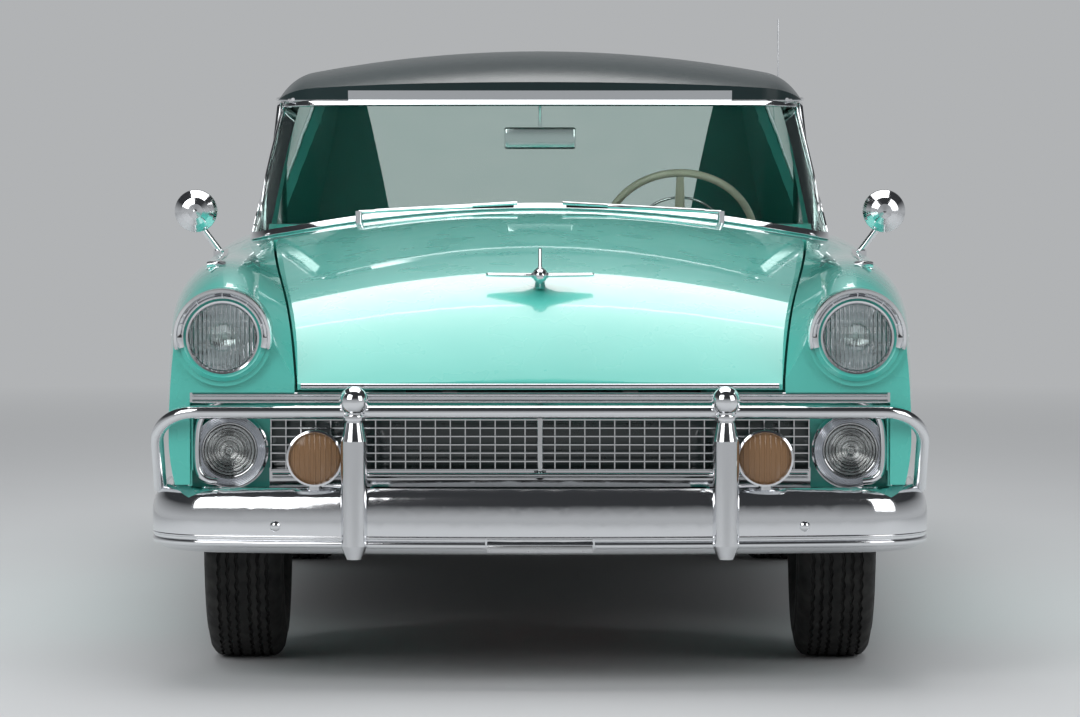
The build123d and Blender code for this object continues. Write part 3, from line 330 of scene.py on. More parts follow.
def gloss_paint(name, colour):
    """Sprayed enamel with a clear gloss, a little uneven."""
    f = Finish(name, Coat_Weight=1.0, Coat_Roughness=0.03, Specular_IOR_Level=0.5)
    f.bump(f.noise(160.0, 2.0), 0.006, 0.0004)
    return f.set(Base_Color=f.mottled(colour, 1.7, 0.94, 1.05), Roughness=f.uneven(9.0, 0.24, 0.34))


def roof_finish(name):
    """Near-black enamel outside, a bright header and pillars, and a pale lining inside."""
    f = Finish(name, Specular_IOR_Level=0.4)
    x, y, z = f.axes()
    facing_x, facing_y, facing_z = f.facing()
    middle = at(2.9)
    inward = facing_x * x + facing_y * (y - middle) < -0.12
    inside = (facing_z < -0.2) * (z > 1.3) | inward
    header = (z < 1.424) * (y < at(2.12)) * (z > 1.388)
    bright = ((z < 1.398) * (y < middle) | header) * (1 - inside)
    weave = f.noise(900.0, 2.0)
    paint = f.mottled(colours().roof, 2.0, 0.85, 1.2)
    lining = f.mix(weave, tone(colours().cloth, 0.75), colours().cloth)
    post = f.mix(f.noise(3.0), tone(colours().trim, 0.9), colours().trim)
    colour = f.mix(inside, f.mix(bright, paint, (0.70, 0.72, 0.74)), f.mix(z > 1.385, post, lining))
    rough = f.mix(inside, f.mix(bright, (0.22,) * 3, (0.10,) * 3), (0.8,) * 3)
    f.bump(weave * inside, 0.15, 0.0005)
    return f.set(Base_Color=colour, Metallic=bright, Roughness=rough)


def chrome(name, roughness=0.06, tint=(0.80, 0.81, 0.83)):
    """Plated metal with fine polishing marks and a slight haze."""
    f = Finish(name, Metallic=1.0)
    haze = f.ramp(f.noise(14.0), 0.35, 0.75, roughness * 0.7, roughness * 1.7)
    f.bump(f.noise(60.0, 2.0), 0.012, 0.001)
    return f.set(Base_Color=f.mottled(tint, 3.0, 0.95, 1.0), Roughness=haze)


def part_painted(name, bright, padded=None):
    """Plated metal whose bright, painted and rubber parts are told apart by their place."""
    f = Finish(name)
    shine = bright(f)
    haze = f.ramp(f.noise(14.0), 0.35, 0.75, 0.04, 0.10)
    shade = f.mix(shine, f.mottled(colours().body, 1.7, 0.94, 1.05), (0.80, 0.81, 0.83))
    rough = f.mix(shine, f.uneven(9.0, 0.10, 0.16), haze)
    if padded:
        pad = padded(f)
        shade, rough = f.mix(pad, shade, (0.014,) * 3), f.mix(pad, rough, (0.7,) * 3)
        shine = shine * (1 - pad)
    f.bump(f.noise(60.0, 2.0), 0.006, 0.001)
    return f.set(Base_Color=shade, Roughness=rough, Metallic=shine)


def bezel_finish(name):
    """The headlamps' rings are painted with the fenders and the parking lamps' are plated."""
    return part_painted(name, lambda f: f.axes()[2] < 0.69)


def surround_finish(name):
    """The grille's surround: bright brow and lower bar, painted beside the lamps, rubber hood buffers."""
    def bright(f):
        x, _, z = f.axes()
        return (z > 0.684) | (z < 0.521) * (abs(x) < 0.655)
    return part_painted(name, bright, lambda f: f.axes()[2] > grille_high + 0.0002)


def window_glass(name):
    """Slightly green sheet glass with a breath of dust."""
    f = Finish(name, Transmission_Weight=1.0, IOR=1.05, Specular_IOR_Level=0.9)
    film = f.noise(11.0)
    shade = f.mix(film, (0.80, 0.90, 0.87), (0.86, 0.94, 0.91))
    return f.set(Base_Color=shade, Roughness=f.ramp(film, 0.3, 0.8, 0.0, 0.02))


def lamp_glass(name, colour, spacing, centre, radial=False, clear=1.0):
    """Pressed lamp glass with flutes, upright or round its centre, its colour darker in the flutes' troughs
    as painted shade.
    """
    f = Finish(name, Transmission_Weight=clear, IOR=1.45)
    x, _, z = f.axes()
    across = abs(x) - centre[0]
    high = z - centre[2]
    if radial:
        flutes = f.wave(f.root(across * across + high * high), spacing)
    else:
        flutes = f.wave(across, spacing) + f.wave(high, spacing * 3.1) * 0.6
    # Darker in the troughs of the flutes and full on their crests: painted shade in the grooves.
    shade = f.mix(f.ramp(flutes, -1.0, 1.0), tone(colour, 0.86), colour)
    f.bump(flutes, 0.8, 0.0026)
    return f.set(Base_Color=shade, Roughness=f.uneven(30.0, 0.01, 0.05))


def rubber(name):
    """Tyre rubber, dusty in patches."""
    f = Finish(name, Specular_IOR_Level=0.35)
    shade = f.mix(f.ramp(f.noise(26.0), 0.35, 0.8), (0.012, 0.012, 0.012), (0.034, 0.033, 0.031))
    f.bump(f.noise(600.0), 0.25, 0.0006)
    return f.set(Base_Color=shade, Roughness=f.uneven(45.0, 0.62, 0.82))


def vinyl(name, colour):
    """Coated upholstery cloth with a fine leather grain and a soft sheen."""
    f = Finish(name, Specular_IOR_Level=0.45, Coat_Weight=0.12, Coat_Roughness=0.3)
    wear = f.noise(5.0)
    shade = f.mix(f.ramp(wear, 0.3, 0.75), tone(colour, 0.86), tone(colour, 1.04))
    f.bump(f.cells(520.0), 0.18, 0.0007)
    return f.set(Base_Color=shade, Roughness=f.ramp(wear, 0.3, 0.7, 0.38, 0.52))


def pleated(name, colour):
    """Woven seat insert between sewn pleats, with its threads crossing at right angles."""
    f = Finish(name, Specular_IOR_Level=0.3, Sheen_Weight=0.2)
    thread = 0.0019
    x, y, z = f.axes()
    weave = f.wave(x, thread) * f.wave(y + z, thread)
    shade = f.mix(f.ramp(weave, -1, 1), tone(colour, 0.72), colour)
    shade = f.mix((f.noise(800.0, 1.0) > 0.64) * 0.5, shade, colours().trim)
    f.bump(weave, 0.3, 0.0006)
    return f.set(Base_Color=shade, Roughness=f.uneven(8.0, 0.70, 0.86))


def chassis_black(name):
    """Brushed-on chassis black with a little road dust and rust at the edges."""
    f = Finish(name)
    patches = f.noise(7.0, 5.0)
    dusty = f.mix(f.ramp(patches, 0.45, 0.75), (0.020, 0.020, 0.021), (0.085, 0.075, 0.062))
    rust = f.mix(f.ramp(f.noise(23.0, 4.0), 0.66, 0.74), dusty, (0.16, 0.065, 0.03))
    f.bump(f.noise(160.0), 0.2, 0.001)
    return f.set(Base_Color=rust, Roughness=f.ramp(patches, 0.3, 0.7, 0.5, 0.8))


def cast_iron(name, colour=(0.10, 0.11, 0.12)):
    """Rough sand-cast metal under a thin coat."""
    f = Finish(name, Metallic=0.4)
    f.bump(f.noise(260.0, 4.0), 0.5, 0.0012)
    return f.set(Base_Color=f.mottled(colour, 9.0, 0.8, 1.2), Roughness=f.uneven(18.0, 0.5, 0.72))


def dull_steel(name):
    """Unpainted sheet steel, stained by heat and weather."""
    f = Finish(name, Metallic=0.85)
    stain = f.noise(12.0, 5.0)
    shade = f.mix(f.ramp(stain, 0.4, 0.7), (0.30, 0.29, 0.28), (0.22, 0.14, 0.09))
    f.bump(f.noise(220.0), 0.12, 0.0008)
    return f.set(Base_Color=shade, Roughness=f.ramp(stain, 0.3, 0.7, 0.38, 0.6))


def hard_plastic(name, colour):
    """Moulded plastic with a shallow polish and faint flow marks."""
    f = Finish(name, Coat_Weight=0.4, Coat_Roughness=0.12)
    flow = f.noise(6.0, 2.0, (1, 1, 5))
    shade = f.mix(f.ramp(flow, 0.3, 0.7), tone(colour, 0.92), tone(colour, 1.04))
    f.bump(f.noise(300.0), 0.03, 0.0005)
    return f.set(Base_Color=shade, Roughness=f.ramp(flow, 0.3, 0.7, 0.24, 0.34))


def floor_pan_finish(name):
    """Painted pan below and carpet above, told apart by which way the sheet faces."""
    f = Finish(name)
    _, _, up = f.facing()
    inside = up > 0.4
    loops = f.cells(330.0)
    patches = f.noise(7.0, 5.0)
    below = f.mix(f.ramp(patches, 0.4, 0.7), (0.030, 0.030, 0.030), (0.10, 0.085, 0.07))
    above = f.mix(f.ramp(loops, 0.1, 0.7), (0.05, 0.16, 0.145), (0.02, 0.06, 0.055))
    f.bump(loops * inside, 0.6, 0.002)
    return f.set(Base_Color=f.mix(inside, below, above), Roughness=f.ramp(patches, 0.3, 0.7, 0.7, 0.95))


def dash_finish(name):
    """Painted dashboard with a padded dark top."""
    f = Finish(name, Coat_Roughness=0.06)
    _, _, z = f.axes()
    _, _, up = f.facing()
    top = (up > 0.7) * (z > 1.0)
    f.bump(f.cells(420.0) * top, 0.3, 0.0008)
    shade = f.mix(top, f.mottled(colours().trim, 3.0, 0.92, 1.08), (0.02, 0.08, 0.075))
    return f.set(Base_Color=shade, Roughness=f.ramp(top, 0, 1, 0.28, 0.6), Coat_Weight=(1 - top) * 0.8)


def dial_finish(name):
    """A pale instrument face with evenly spaced marks round its arc."""
    f = Finish(name, Roughness=0.4)
    x, _, z = f.axes()
    across, high = x - wheel_hub[0], z - dial_height
    distance = f.root(across * across + high * high)
    angle = f.math("ARCTAN2", high, across)
    mark = (f.wave(angle, radians(12)) > 0.86) * (distance > 0.060) * (distance < 0.076) * (high > 0.0)
    shade = f.mix(mark, (0.045, 0.05, 0.05), (0.85, 0.86, 0.80))
    return f.set(Base_Color=shade, Roughness=f.uneven(30.0, 0.3, 0.45))


def mirror_glass(name):
    """Silvered glass with a faint film."""
    f = Finish(name, Metallic=1.0)
    film = f.noise(20.0)
    shade = f.mix(film, (0.80, 0.84, 0.84), (0.86, 0.89, 0.89))
    return f.set(Base_Color=shade, Roughness=f.ramp(film, 0.4, 0.9, 0.01, 0.05))


FINISHES = {
    "body": lambda n: gloss_paint(n, colours().body),
    "roof": roof_finish,
    "chrome": chrome,
    "satin_metal": lambda n: chrome(n, 0.24, (0.62, 0.63, 0.64)),
    "grille_metal": lambda n: chrome(n, 0.14, (0.70, 0.71, 0.72)),
    "glass": window_glass,
    "bezel": bezel_finish,
    "surround": surround_finish,
    "headlamp_glass": lambda n: lamp_glass(n, (0.96, 0.98, 0.98), 0.0105, headlamp),
    "parking_glass": lambda n: lamp_glass(n, (0.96, 0.97, 0.95), 0.008, parking_lamp, True),
    "amber_glass": lambda n: lamp_glass(n, (0.060, 0.018, 0.004), fog_rib_spacing, fog_lamp, clear=0.0),
    "red_glass": lambda n: lamp_glass(n, (0.42, 0.007, 0.006), 0.012, tail_lamp, True, clear=0.0),
    "rubber": rubber,
    "trim_vinyl": lambda n: vinyl(n, colours().trim),
    "pale_vinyl": lambda n: vinyl(n, colours().cloth),
    "insert": lambda n: pleated(n, colours().cloth),
    "chassis": chassis_black,
    "dark_paint": lambda n: gloss_paint(n, (0.012, 0.030, 0.030)),
    "iron": cast_iron,
    "steel": dull_steel,
    "ivory": lambda n: hard_plastic(n, colours().ivory),
    "black_plastic": lambda n: hard_plastic(n, (0.012, 0.012, 0.013)),
    "pan": floor_pan_finish,
    "dash": dash_finish,
    "dial": dial_finish,
    "mirror": mirror_glass,
    "engine_paint": lambda n: cast_iron(n, (0.50, 0.055, 0.03)),
}


def finish(name):
    """The material of that name: the frame's own where it brings one, or else one made here."""
    return bpy.data.materials.get(name) or FINISHES[name](name)


NODE_FINISHES = {
    "body": (
        "hood", "deck_lid", "fender_left", "fender_right", "cowl", "rear_deck", "tail_panel",
        "door_left", "door_right", "quarter_left", "quarter_right",
    ),
    "roof": ("roof",),
    "surround": ("grille_surround",),
    "bezel": ("lamp_bezels",),
    "glass": ("windshield", "rear_glass", "door_glass_left", "door_glass_right"),
    "grille_metal": ("grille",),
    "chrome": (
        "headlamp_visors", "bumper_guard", "front_bumper", "rear_bumper", "fog_lamps", "mirrors", "antenna",
        "wipers", "hood_ornament", "door_handle_left", "door_handle_right",
    ),
    "headlamp_glass": ("lamp_lenses",),
    "amber_glass": ("fog_lenses",),
    "red_glass": ("tail_lamps",),
    "rubber": ("tyre_front_left", "tyre_front_right", "tyre_rear_left", "tyre_rear_right"),
    "dark_paint": (*front_wheels, *rear_wheels, "radiator"),
    "chassis": ("chassis_frame", "rear_axle", "front_suspension"),
    "iron": ("knuckle_left", "knuckle_right"),
    "engine_paint": ("engine",),
    "steel": ("exhaust", "fuel_tank"),
    "pan": ("floor_pan",),
    "dash": ("dashboard",),
    "ivory": ("steering_wheel",),
    "trim_vinyl": ("front_seat", "rear_seat"),
}


# Ways of making a mesh


def only(obj):
    """Leaves the object alone selected and active, outside edit mode."""
    if bpy.context.mode != "OBJECT":
        bpy.ops.object.mode_set(mode="OBJECT")
    bpy.ops.object.select_all(action="DESELECT")
    if obj:
        obj.select_set(True)
        bpy.context.view_layer.objects.active = obj
    return obj


def edited(obj, *steps):
    """Runs edit-mode steps on the whole of an object's mesh."""
    only(obj)
    bpy.ops.object.mode_set(mode="EDIT")
    bpy.ops.mesh.select_all(action="SELECT")
    for step in steps:
        step()
    bpy.ops.object.mode_set(mode="OBJECT")
    return obj


def closed(obj):
    """Merges what a spin or mirror left doubled and turns the faces outwards."""
    return edited(
        obj,
        lambda: bpy.ops.mesh.remove_doubles(threshold=0.00002),
        lambda: bpy.ops.mesh.normals_make_consistent(inside=False),
    )


def modified(obj, kind, **settings):
    """Applies one modifier with its settings."""
    only(obj)
    modifier = obj.modifiers.new(kind.title(), kind)
    for name, value in settings.items():
        setattr(modifier, name, value)
    bpy.ops.object.modifier_apply(modifier=modifier.name)
    return obj


def bevelled(obj, width, segments=2, angle=40):
    """Rounds the edges that are sharper than an angle in degrees."""
    limit = {"limit_method": "ANGLE", "angle_limit": radians(angle)}
    return modified(obj, "BEVEL", width=width, segments=segments, **limit)


def loop(name, points):
    """A closed chain of edges, from a circle whose points are moved to their places."""
    only(None)
    bpy.ops.mesh.primitive_circle_add(vertices=len(points), fill_type="NOTHING")
    obj = bpy.context.object
    obj.name = name
    for vertex, point in zip(obj.data.vertices, points):
        vertex.co = point
    return obj


def turned(name, profile, centre, axis="Y", steps=40):
    """A solid turned round an axis from (radius, offset along the axis) pairs."""
    centre = Vector(centre)
    across, up, high = Vector((1, 0, 0)), Vector((0, 1, 0)), Vector((0, 0, 1))
    out, along = {"X": (high, across), "Y": (across, up), "Z": (across, high)}[axis]
    obj = loop(name, [centre + out * r + along * d for r, d in profile])
    edited(obj, lambda: bpy.ops.mesh.spin(steps=steps, angle=2 * pi, center=centre, axis=along))
    return closed(obj)


def prism(name, points, push, bevel=0.0):
    """A flat outline pushed to a thickness, with its edges broken."""
    obj = loop(name, points)
    edited(
        obj,
        lambda: bpy.ops.mesh.edge_face_add(),
        lambda: bpy.ops.mesh.extrude_region_move(TRANSFORM_OT_translate={"value": push}),
    )
    closed(obj)
    return bevelled(obj, bevel) if bevel else obj


def block(name, low, high, bevel=0.002, segments=2):
    """A bevelled block between two corners."""
    low, high = Vector(low), Vector(high)
    only(None)
    bpy.ops.mesh.primitive_cube_add(size=1)
    obj = bpy.context.object
    obj.name = name
    obj.data.transform(Matrix.Translation((low + high) / 2) @ Matrix.Diagonal((*(high - low), 1)))
    return bevelled(obj, bevel, segments)


def tube(name, points, radius, resolution=4, smooth=True):
    """A round bar along a line of points."""
    only(None)
    bpy.ops.curve.primitive_nurbs_path_add()
    obj = bpy.context.object
    obj.name = name
    data = obj.data
    data.splines.clear()
    spline = data.splines.new("NURBS" if smooth else "POLY")
    spline.points.add(len(points) - 1)
    for control, point in zip(spline.points, points):
        control.co = (*point, 1)
    spline.use_endpoint_u = True
    if smooth:
        spline.order_u = 3
    spline.resolution_u = 6
    data.bevel_depth = radius
    data.bevel_resolution = resolution
    data.use_fill_caps = True
    bpy.ops.object.convert(target="MESH")
    return closed(bpy.context.object)


def patch(name, rows):
    """A sheet through rows of points, from a grid whose points are moved."""
    only(None)
    bpy.ops.mesh.primitive_grid_add(x_subdivisions=len(rows[0]) - 1, y_subdivisions=len(rows) - 1)
    obj = bpy.context.object
    obj.name = name
    for vertex, point in zip(obj.data.vertices, [p for row in rows for p in row]):
        vertex.co = point
    return obj


def copied(node, name):
    """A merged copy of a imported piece's mesh, to shape a dressing from."""
    obj = bpy.data.objects.new(name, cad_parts[node].data.copy())
    bpy.context.scene.collection.objects.link(obj)
    obj.data.materials.clear()
    return edited(obj, lambda: bpy.ops.mesh.remove_doubles(threshold=0.00002))


def main_axis(direction):
    """The number of the axis that a direction runs along most."""
    return max(range(3), key=lambda i: abs(direction[i]))


def laid(obj, node, direction, lift, thickness):
    """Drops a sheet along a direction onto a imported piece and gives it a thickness."""
    target = copied(node, "target")
    axis = main_axis(direction)
    settings = {"use_project_" + letter: axis == i for i, letter in enumerate("xyz")}
    settings["use_negative_direction"] = direction[axis] < 0
    settings["use_positive_direction"] = direction[axis] > 0
    modified(obj, "SHRINKWRAP", target=target, wrap_method="PROJECT", offset=lift, **settings)
    bpy.data.objects.remove(target)
    modified(obj, "SOLIDIFY", thickness=thickness, offset=0)
    return closed(obj)


def strip(name, node, line, width, direction, thickness, count=40):
    """A bright strip laid on a panel, from the points of its middle line seen along the direction."""
    lift, far_out, high_up, edge = 0.001, 1.3, 2.0, 0.0009
    direction = Vector(direction)
    axis = main_axis(direction)
    start = -far_out * direction[axis] if axis == 0 else high_up
    points = resampled(line, count)
    rows = []
    for share in (-0.5, -0.25, 0.0, 0.25, 0.5):
        row = []
        for i, point in enumerate(points):
            ahead = points[min(i + 1, count - 1)] - points[max(i - 1, 0)]
            spot = point + ahead.cross(direction).normalized() * width * share
            spot[axis] = start
            row.append(spot)
        rows.append(row)
    return bevelled(laid(patch(name, rows), node, direction, lift, thickness), edge)


def resampled(line, count):
    """Evenly spaced points along a line of points."""
    line = [Vector(p) for p in line]
    lengths = [(b - a).length for a, b in zip(line, line[1:])]
    total, points, run, leg = sum(lengths), [], 0.0, 0
    for i in range(count):
        target = total * i / (count - 1)
        while leg < len(lengths) - 1 and run + lengths[leg] < target:
            run += lengths[leg]
            leg += 1
        points.append(line[leg].lerp(line[leg + 1], min(1.0, (target - run) / lengths[leg])))
    return points


def smoothed(line, rounds=2):
    """A line with its corners cut, ends kept."""
    points = [Vector(p) for p in line]
    for _ in range(rounds):
        cut = [points[0]]
        for a, b in zip(points, points[1:]):
            cut += [a.lerp(b, 0.25), a.lerp(b, 0.75)]
        points = cut + [points[-1]]
    return points


def joined(name, *parts):
    """One mesh from several."""
    only(parts[0])
    for part in parts:
        part.select_set(True)
    bpy.ops.object.join()
    parts[0].name = name
    return parts[0]


def duplicate(obj, name):
    """A second object with a mesh of its own."""
    other = obj.copy()
    other.data = obj.data.copy()
    other.name = name
    bpy.context.scene.collection.objects.link(other)
    return other


def twin(obj, name):
    """The same piece on the other side of the car."""
    other = duplicate(obj, name)
    other.data.transform(Matrix.Scale(-1, 4, (1, 0, 0)))
    return edited(other, lambda: bpy.ops.mesh.flip_normals())


def dressed(obj, name, body, slot, *finishes, replaces=(), angle=35):
    """Gives a piece its name, finish and body; the slot is not used."""
    obj.name = name
    obj.data.materials.clear()
    for material in finishes:
        obj.data.materials.append(finish(material))
    only(obj)
    bpy.ops.object.shade_smooth_by_angle(angle=radians(angle))
    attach(obj, body)
    if replaces:
        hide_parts(*replaces)
    return obj


def both_sides(obj, name, bodies, slot, *finishes, replaces=(), **more):
    """Dresses a piece of the driver's side and its twin; {} in a replaced node's name is the side."""
    pieces = (obj, twin(obj, name + "_right"))
    for piece, (side, _), body in zip(pieces, sides, bodies):
        nodes = [node.format(side) for node in replaces]
        dressed(piece, f"{name}_{side}", body, slot, *finishes, replaces=nodes, **more)


def plated(obj, name, body="body", metal="chrome", **more):
    """Dresses a piece of bright metal."""
    return dressed(obj, name, body, "chrome", metal, **more)


def plated_pair(obj, name, bodies=fixed, metal="chrome", **more):
    """Dresses a piece of bright metal and its twin on the other side."""
    both_sides(obj, name, bodies, "chrome", metal, **more)


def plated_ring(name, section, centre, steps=40, **more):
    """Turns a plated ring or bowl on both sides."""
    plated_pair(turned(name, section, centre, steps=steps), name, **more)


# Pieces


def on(node, start, direction):
    """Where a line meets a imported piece, and which way the surface faces there."""
    hit, spot, normal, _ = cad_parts[node].ray_cast(Vector(start), Vector(direction))
    if not hit:
        raise RuntimeError("nothing of " + node + " lies there")
    return spot, normal


def dish(radius, depth, wall, count=7):
    """A bowl's section as (radius, offset) pairs, deepest at its centre."""
    shares = [i / count for i in range(count + 1)]
    front = [(radius * (1 - s), depth * (1 - (1 - s) ** 2)) for s in shares]
    return front + [(r, d + wall) for r, d in reversed(front)]


def dome(radius, rise, wall, count=7):
    """A domed glass's section, with its edge standing back."""
    shares = [i / count for i in range(count + 1)]
    front = [(radius * s, -rise * (1 - s * s)) for s in shares]
    return front + [(r, d + wall) for r, d in reversed(front)]


def headlamps():
    """The fluted lenses, reflectors, bulbs, rims and visors of the headlamps, with a dark band of painted
    shade behind the visors' slots.
    """
    centre = place(*headlamp)
    lens = turned("headlamp_lens", dome(0.0795, 0.022, 0.003), centre)
    both_sides(lens, "headlamp_lens", fixed, "lamp_glass", "headlamp_glass", replaces=("lamp_lenses",))
    plated_ring("headlamp_reflector", dish(0.079, 0.062, 0.003), centre + behind_lens)
    bulb = [(0, 0.010), (0.009, 0.014), (0.012, 0.024), (0.008, 0.050), (0, 0.050)]
    both_sides(turned("headlamp_bulb", bulb, centre), "headlamp_bulb", fixed, "lamp_glass", "glass")
    lip = [
        (0.0800, -0.003), (0.0835, -0.009), (0.0880, -0.010), (0.0905, -0.006), (0.0900, 0.000),
        (0.0800, 0.002),
    ]
    plated_ring("headlamp_rim", lip, centre, 56)
    plated_pair(headlamp_visor(centre), "headlamp_visor", replaces=("headlamp_visors",))
    # A black band behind the visor's bars: painted shade standing in for the dark inside the slots.
    slots = [(0.0935, -0.0125), (0.1095, -0.0165), (0.1095, -0.0155), (0.0935, -0.0115)]
    dark = turned("visor_slot_shade", slots, centre, steps=56)
    cut = {"plane_co": centre, "plane_no": (0, 0, 1), "clear_inner": True, "use_fill": True}
    edited(dark, lambda: bpy.ops.mesh.bisect(**cut))
    plated_pair(closed(dark), "visor_slot_shade", metal="black_plastic")


def parking_lamps():
    """The stepped lenses, reflectors and ribbed rings of the parking lamps."""
    centre = place(*parking_lamp)
    steps_back = [
        (0, -0.030), (0.010, -0.029), (0.013, -0.022), (0.030, -0.019), (0.050, -0.011), (0.0636, 0.001),
        (0.0636, 0.004), (0.049, -0.008), (0.029, -0.016), (0, -0.019),
    ]
    lens = turned("parking_lens", steps_back, centre, steps=48)
    both_sides(lens, "parking_lens", fixed, "lamp_glass", "parking_glass", replaces=("lamp_lenses",))
    plated_ring("parking_reflector", dish(0.063, 0.034, 0.002), centre + behind_lens)
    ribs = [(0.0650, -0.001)]
    for i in range(6):
        ribs += [(0.0665 + i * 0.0038, -0.007 - i * 0.0004), (0.0684 + i * 0.0038, -0.012 - i * 0.0003)]
    ribs += [(0.0905, -0.006), (0.0905, -0.001)]
    plated_ring("parking_ring", ribs, centre, 64, angle=20)


def headlamp_visor(centre):
    """The bright half hood over a headlamp, with a rolled lip and a row of slots under it."""
    def round_lamp(radius, offset, turn):
        return centre + Vector((radius * cos(turn), offset, radius * sin(turn)))

    rows, steps, start, sweep = [], 44, radians(-14), radians(208)
    for i in range(steps + 1):
        turn = start + i * sweep / steps
        reach = 0.014 + 0.040 * sin(pi * i / steps) ** 0.6
        section = [
            (0.1130, 0.018), (0.1165, 0.006), (0.1172, -0.6 * reach), (0.1150, -reach), (0.1105, -reach),
            (0.1085, -reach + 0.004), (0.1090, -0.5 * reach), (0.0990, -0.012), (0.0940, -0.012),
        ]
        rows.append([round_lamp(r, d, turn) for r, d in section])
    shell = closed(modified(patch("headlamp_visor", rows), "SOLIDIFY", thickness=0.003, offset=0))
    ring_radius, ring_steps = 0.0965, 30
    arc = [radians(4 + 172 * i / ring_steps) for i in range(ring_steps + 1)]
    ring = tube("ring", [round_lamp(ring_radius, -0.0165, turn) for turn in arc], 0.0028)
    bars = []
    for turn in (18, 54, 90, 126, 162):
        line = [round_lamp(r, d, radians(turn)) for r, d in ((ring_radius, -0.017), (0.109, -0.026))]
        bars.append(tube("bar", line, 0.0018))
    return joined("headlamp_visor", shell, ring, *bars)


def fog_lamp_glass():
    """The ribbed lenses, reflectors, rims and brackets of the fog lamps."""
    x, station, z = fog_lamp
    centre = place(*fog_lamp)
    radius, rise, rib_reach, rib_steps = 0.0597, 0.010, 0.057, 6
    ribs = []
    for across in [i * fog_rib_spacing for i in range(-4, 5)]:
        reach = (rib_reach ** 2 - across ** 2) ** 0.5
        highs = [reach * i / rib_steps for i in range(-rib_steps, rib_steps + 1)]
        line = [(across, -rise * (1 - (across ** 2 + high ** 2) / radius ** 2), high) for high in highs]
        ribs.append(tube("rib", [centre + Vector(point) for point in line], 0.0022, resolution=2))
    lens = joined("fog_lens", turned("glass", dome(radius, rise, 0.003), centre), *ribs)
    both_sides(lens, "fog_lens", fixed, "amber_glass", "amber_glass", replaces=("fog_lenses",))
    plated_ring("fog_reflector", dish(0.059, 0.018, 0.001), centre + behind_lens)
    rim = [
        (0.0600, -0.004), (0.0630, -0.008), (0.0680, -0.006), (0.0690, 0.004), (0.0672, 0.010),
        (0.0664, 0.002),
    ]
    plated_ring("fog_rim", rim, centre, 48)
    foot = [(0, 0), (0.018, 0), (0.018, 0.012), (0.0135, 0.016), (0, 0.016)]
    collar = turned("collar", foot, place(x, station + 0.024, 0.476), axis="Z", steps=32)
    bend = [(x, station + 0.024), (x - 0.050, station + 0.020), (x - 0.090, station + 0.004)]
    arm = tube("arm", [place(a, b, 0.486) for a, b in bend], 0.006)
    plated_pair(joined("fog_bracket", collar, arm), "fog_bracket")


def grille_trim():
    """The mouldings round the grille, the lip of the hood and a dark sheet of painted shade behind the mesh.
    """
    half, low, high, corner, surround_station = 0.828, 0.492, 0.694, 0.085, 0.140
    turns = (pi / 6, pi / 3, pi / 2)
    outline = [(0, high), (half - corner, high)]
    outline += [(half - corner + corner * sin(a), high - corner + corner * cos(a)) for a in turns]
    outline += [(half, low + 0.03), (half - 0.02, low + 0.004), (half - 0.05, low)]
    right = [place(x, surround_station, z) for x, z in outline]
    left = [Vector((-p.x, p.y, p.z)) for p in reversed(right[1:])]
    plated(tube("grille_moulding", smoothed(left + right, 1), 0.0095), "grille_moulding")
    bars = (
        ("brow_high", 0.120, 0.7025, 0.836, 0.0052), ("brow_low", 0.120, 0.6865, 0.836, 0.0045),
        ("mesh_low", 0.146, 0.5060, 0.645, 0.0070),
    )
    for label, station, height, reach, radius in bars:
        line = [place(x * reach, station, height) for x in (-1, -0.5, 0, 0.5, 1)]
        plated(tube(label, line, radius), label + "_moulding")
    lip = tube("hood_lip", [place(x, 0.112, 0.7235) for x in (-0.575, -0.3, 0, 0.3, 0.575)], 0.0065)
    plated(lip, "hood_lip", "hood")
    ridges = []
    for x in (0.838, 0.848, 0.858):
        ridges.append(tube("ridge", [place(x, 0.1315, z) for z in (0.520, 0.655)], 0.0032))
    both_sides(joined("panel_ridges", *ridges), "panel_ridges", fixed, "body_paint", "body")
    # A dark sheet behind the mesh: painted shade where the real car is open to the radiator.
    back = block("grille_shade_sheet", place(-0.66, 0.212, 0.508), place(0.66, 0.216, 0.648), 0.001)
    dressed(back, "grille_shade_sheet", "body", "dark_trim", "dark_paint")


def round_the_end(node, way, height):
    """Points along a bumper's outer face at one height, from one wrapped end to the other."""
    reach, far_out, sweep, steps = 1.70, 3, 172, 60
    middle = place(0, half_length - way * reach, height)
    points = []
    for i in range(steps + 1):
        turn = radians(-sweep / 2 + sweep * i / steps)
        out = Vector((sin(turn), -way * cos(turn), 0))
        hit, spot, _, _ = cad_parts[node].ray_cast(middle + out * far_out, -out)
        if hit:
            points.append(spot)
    return points


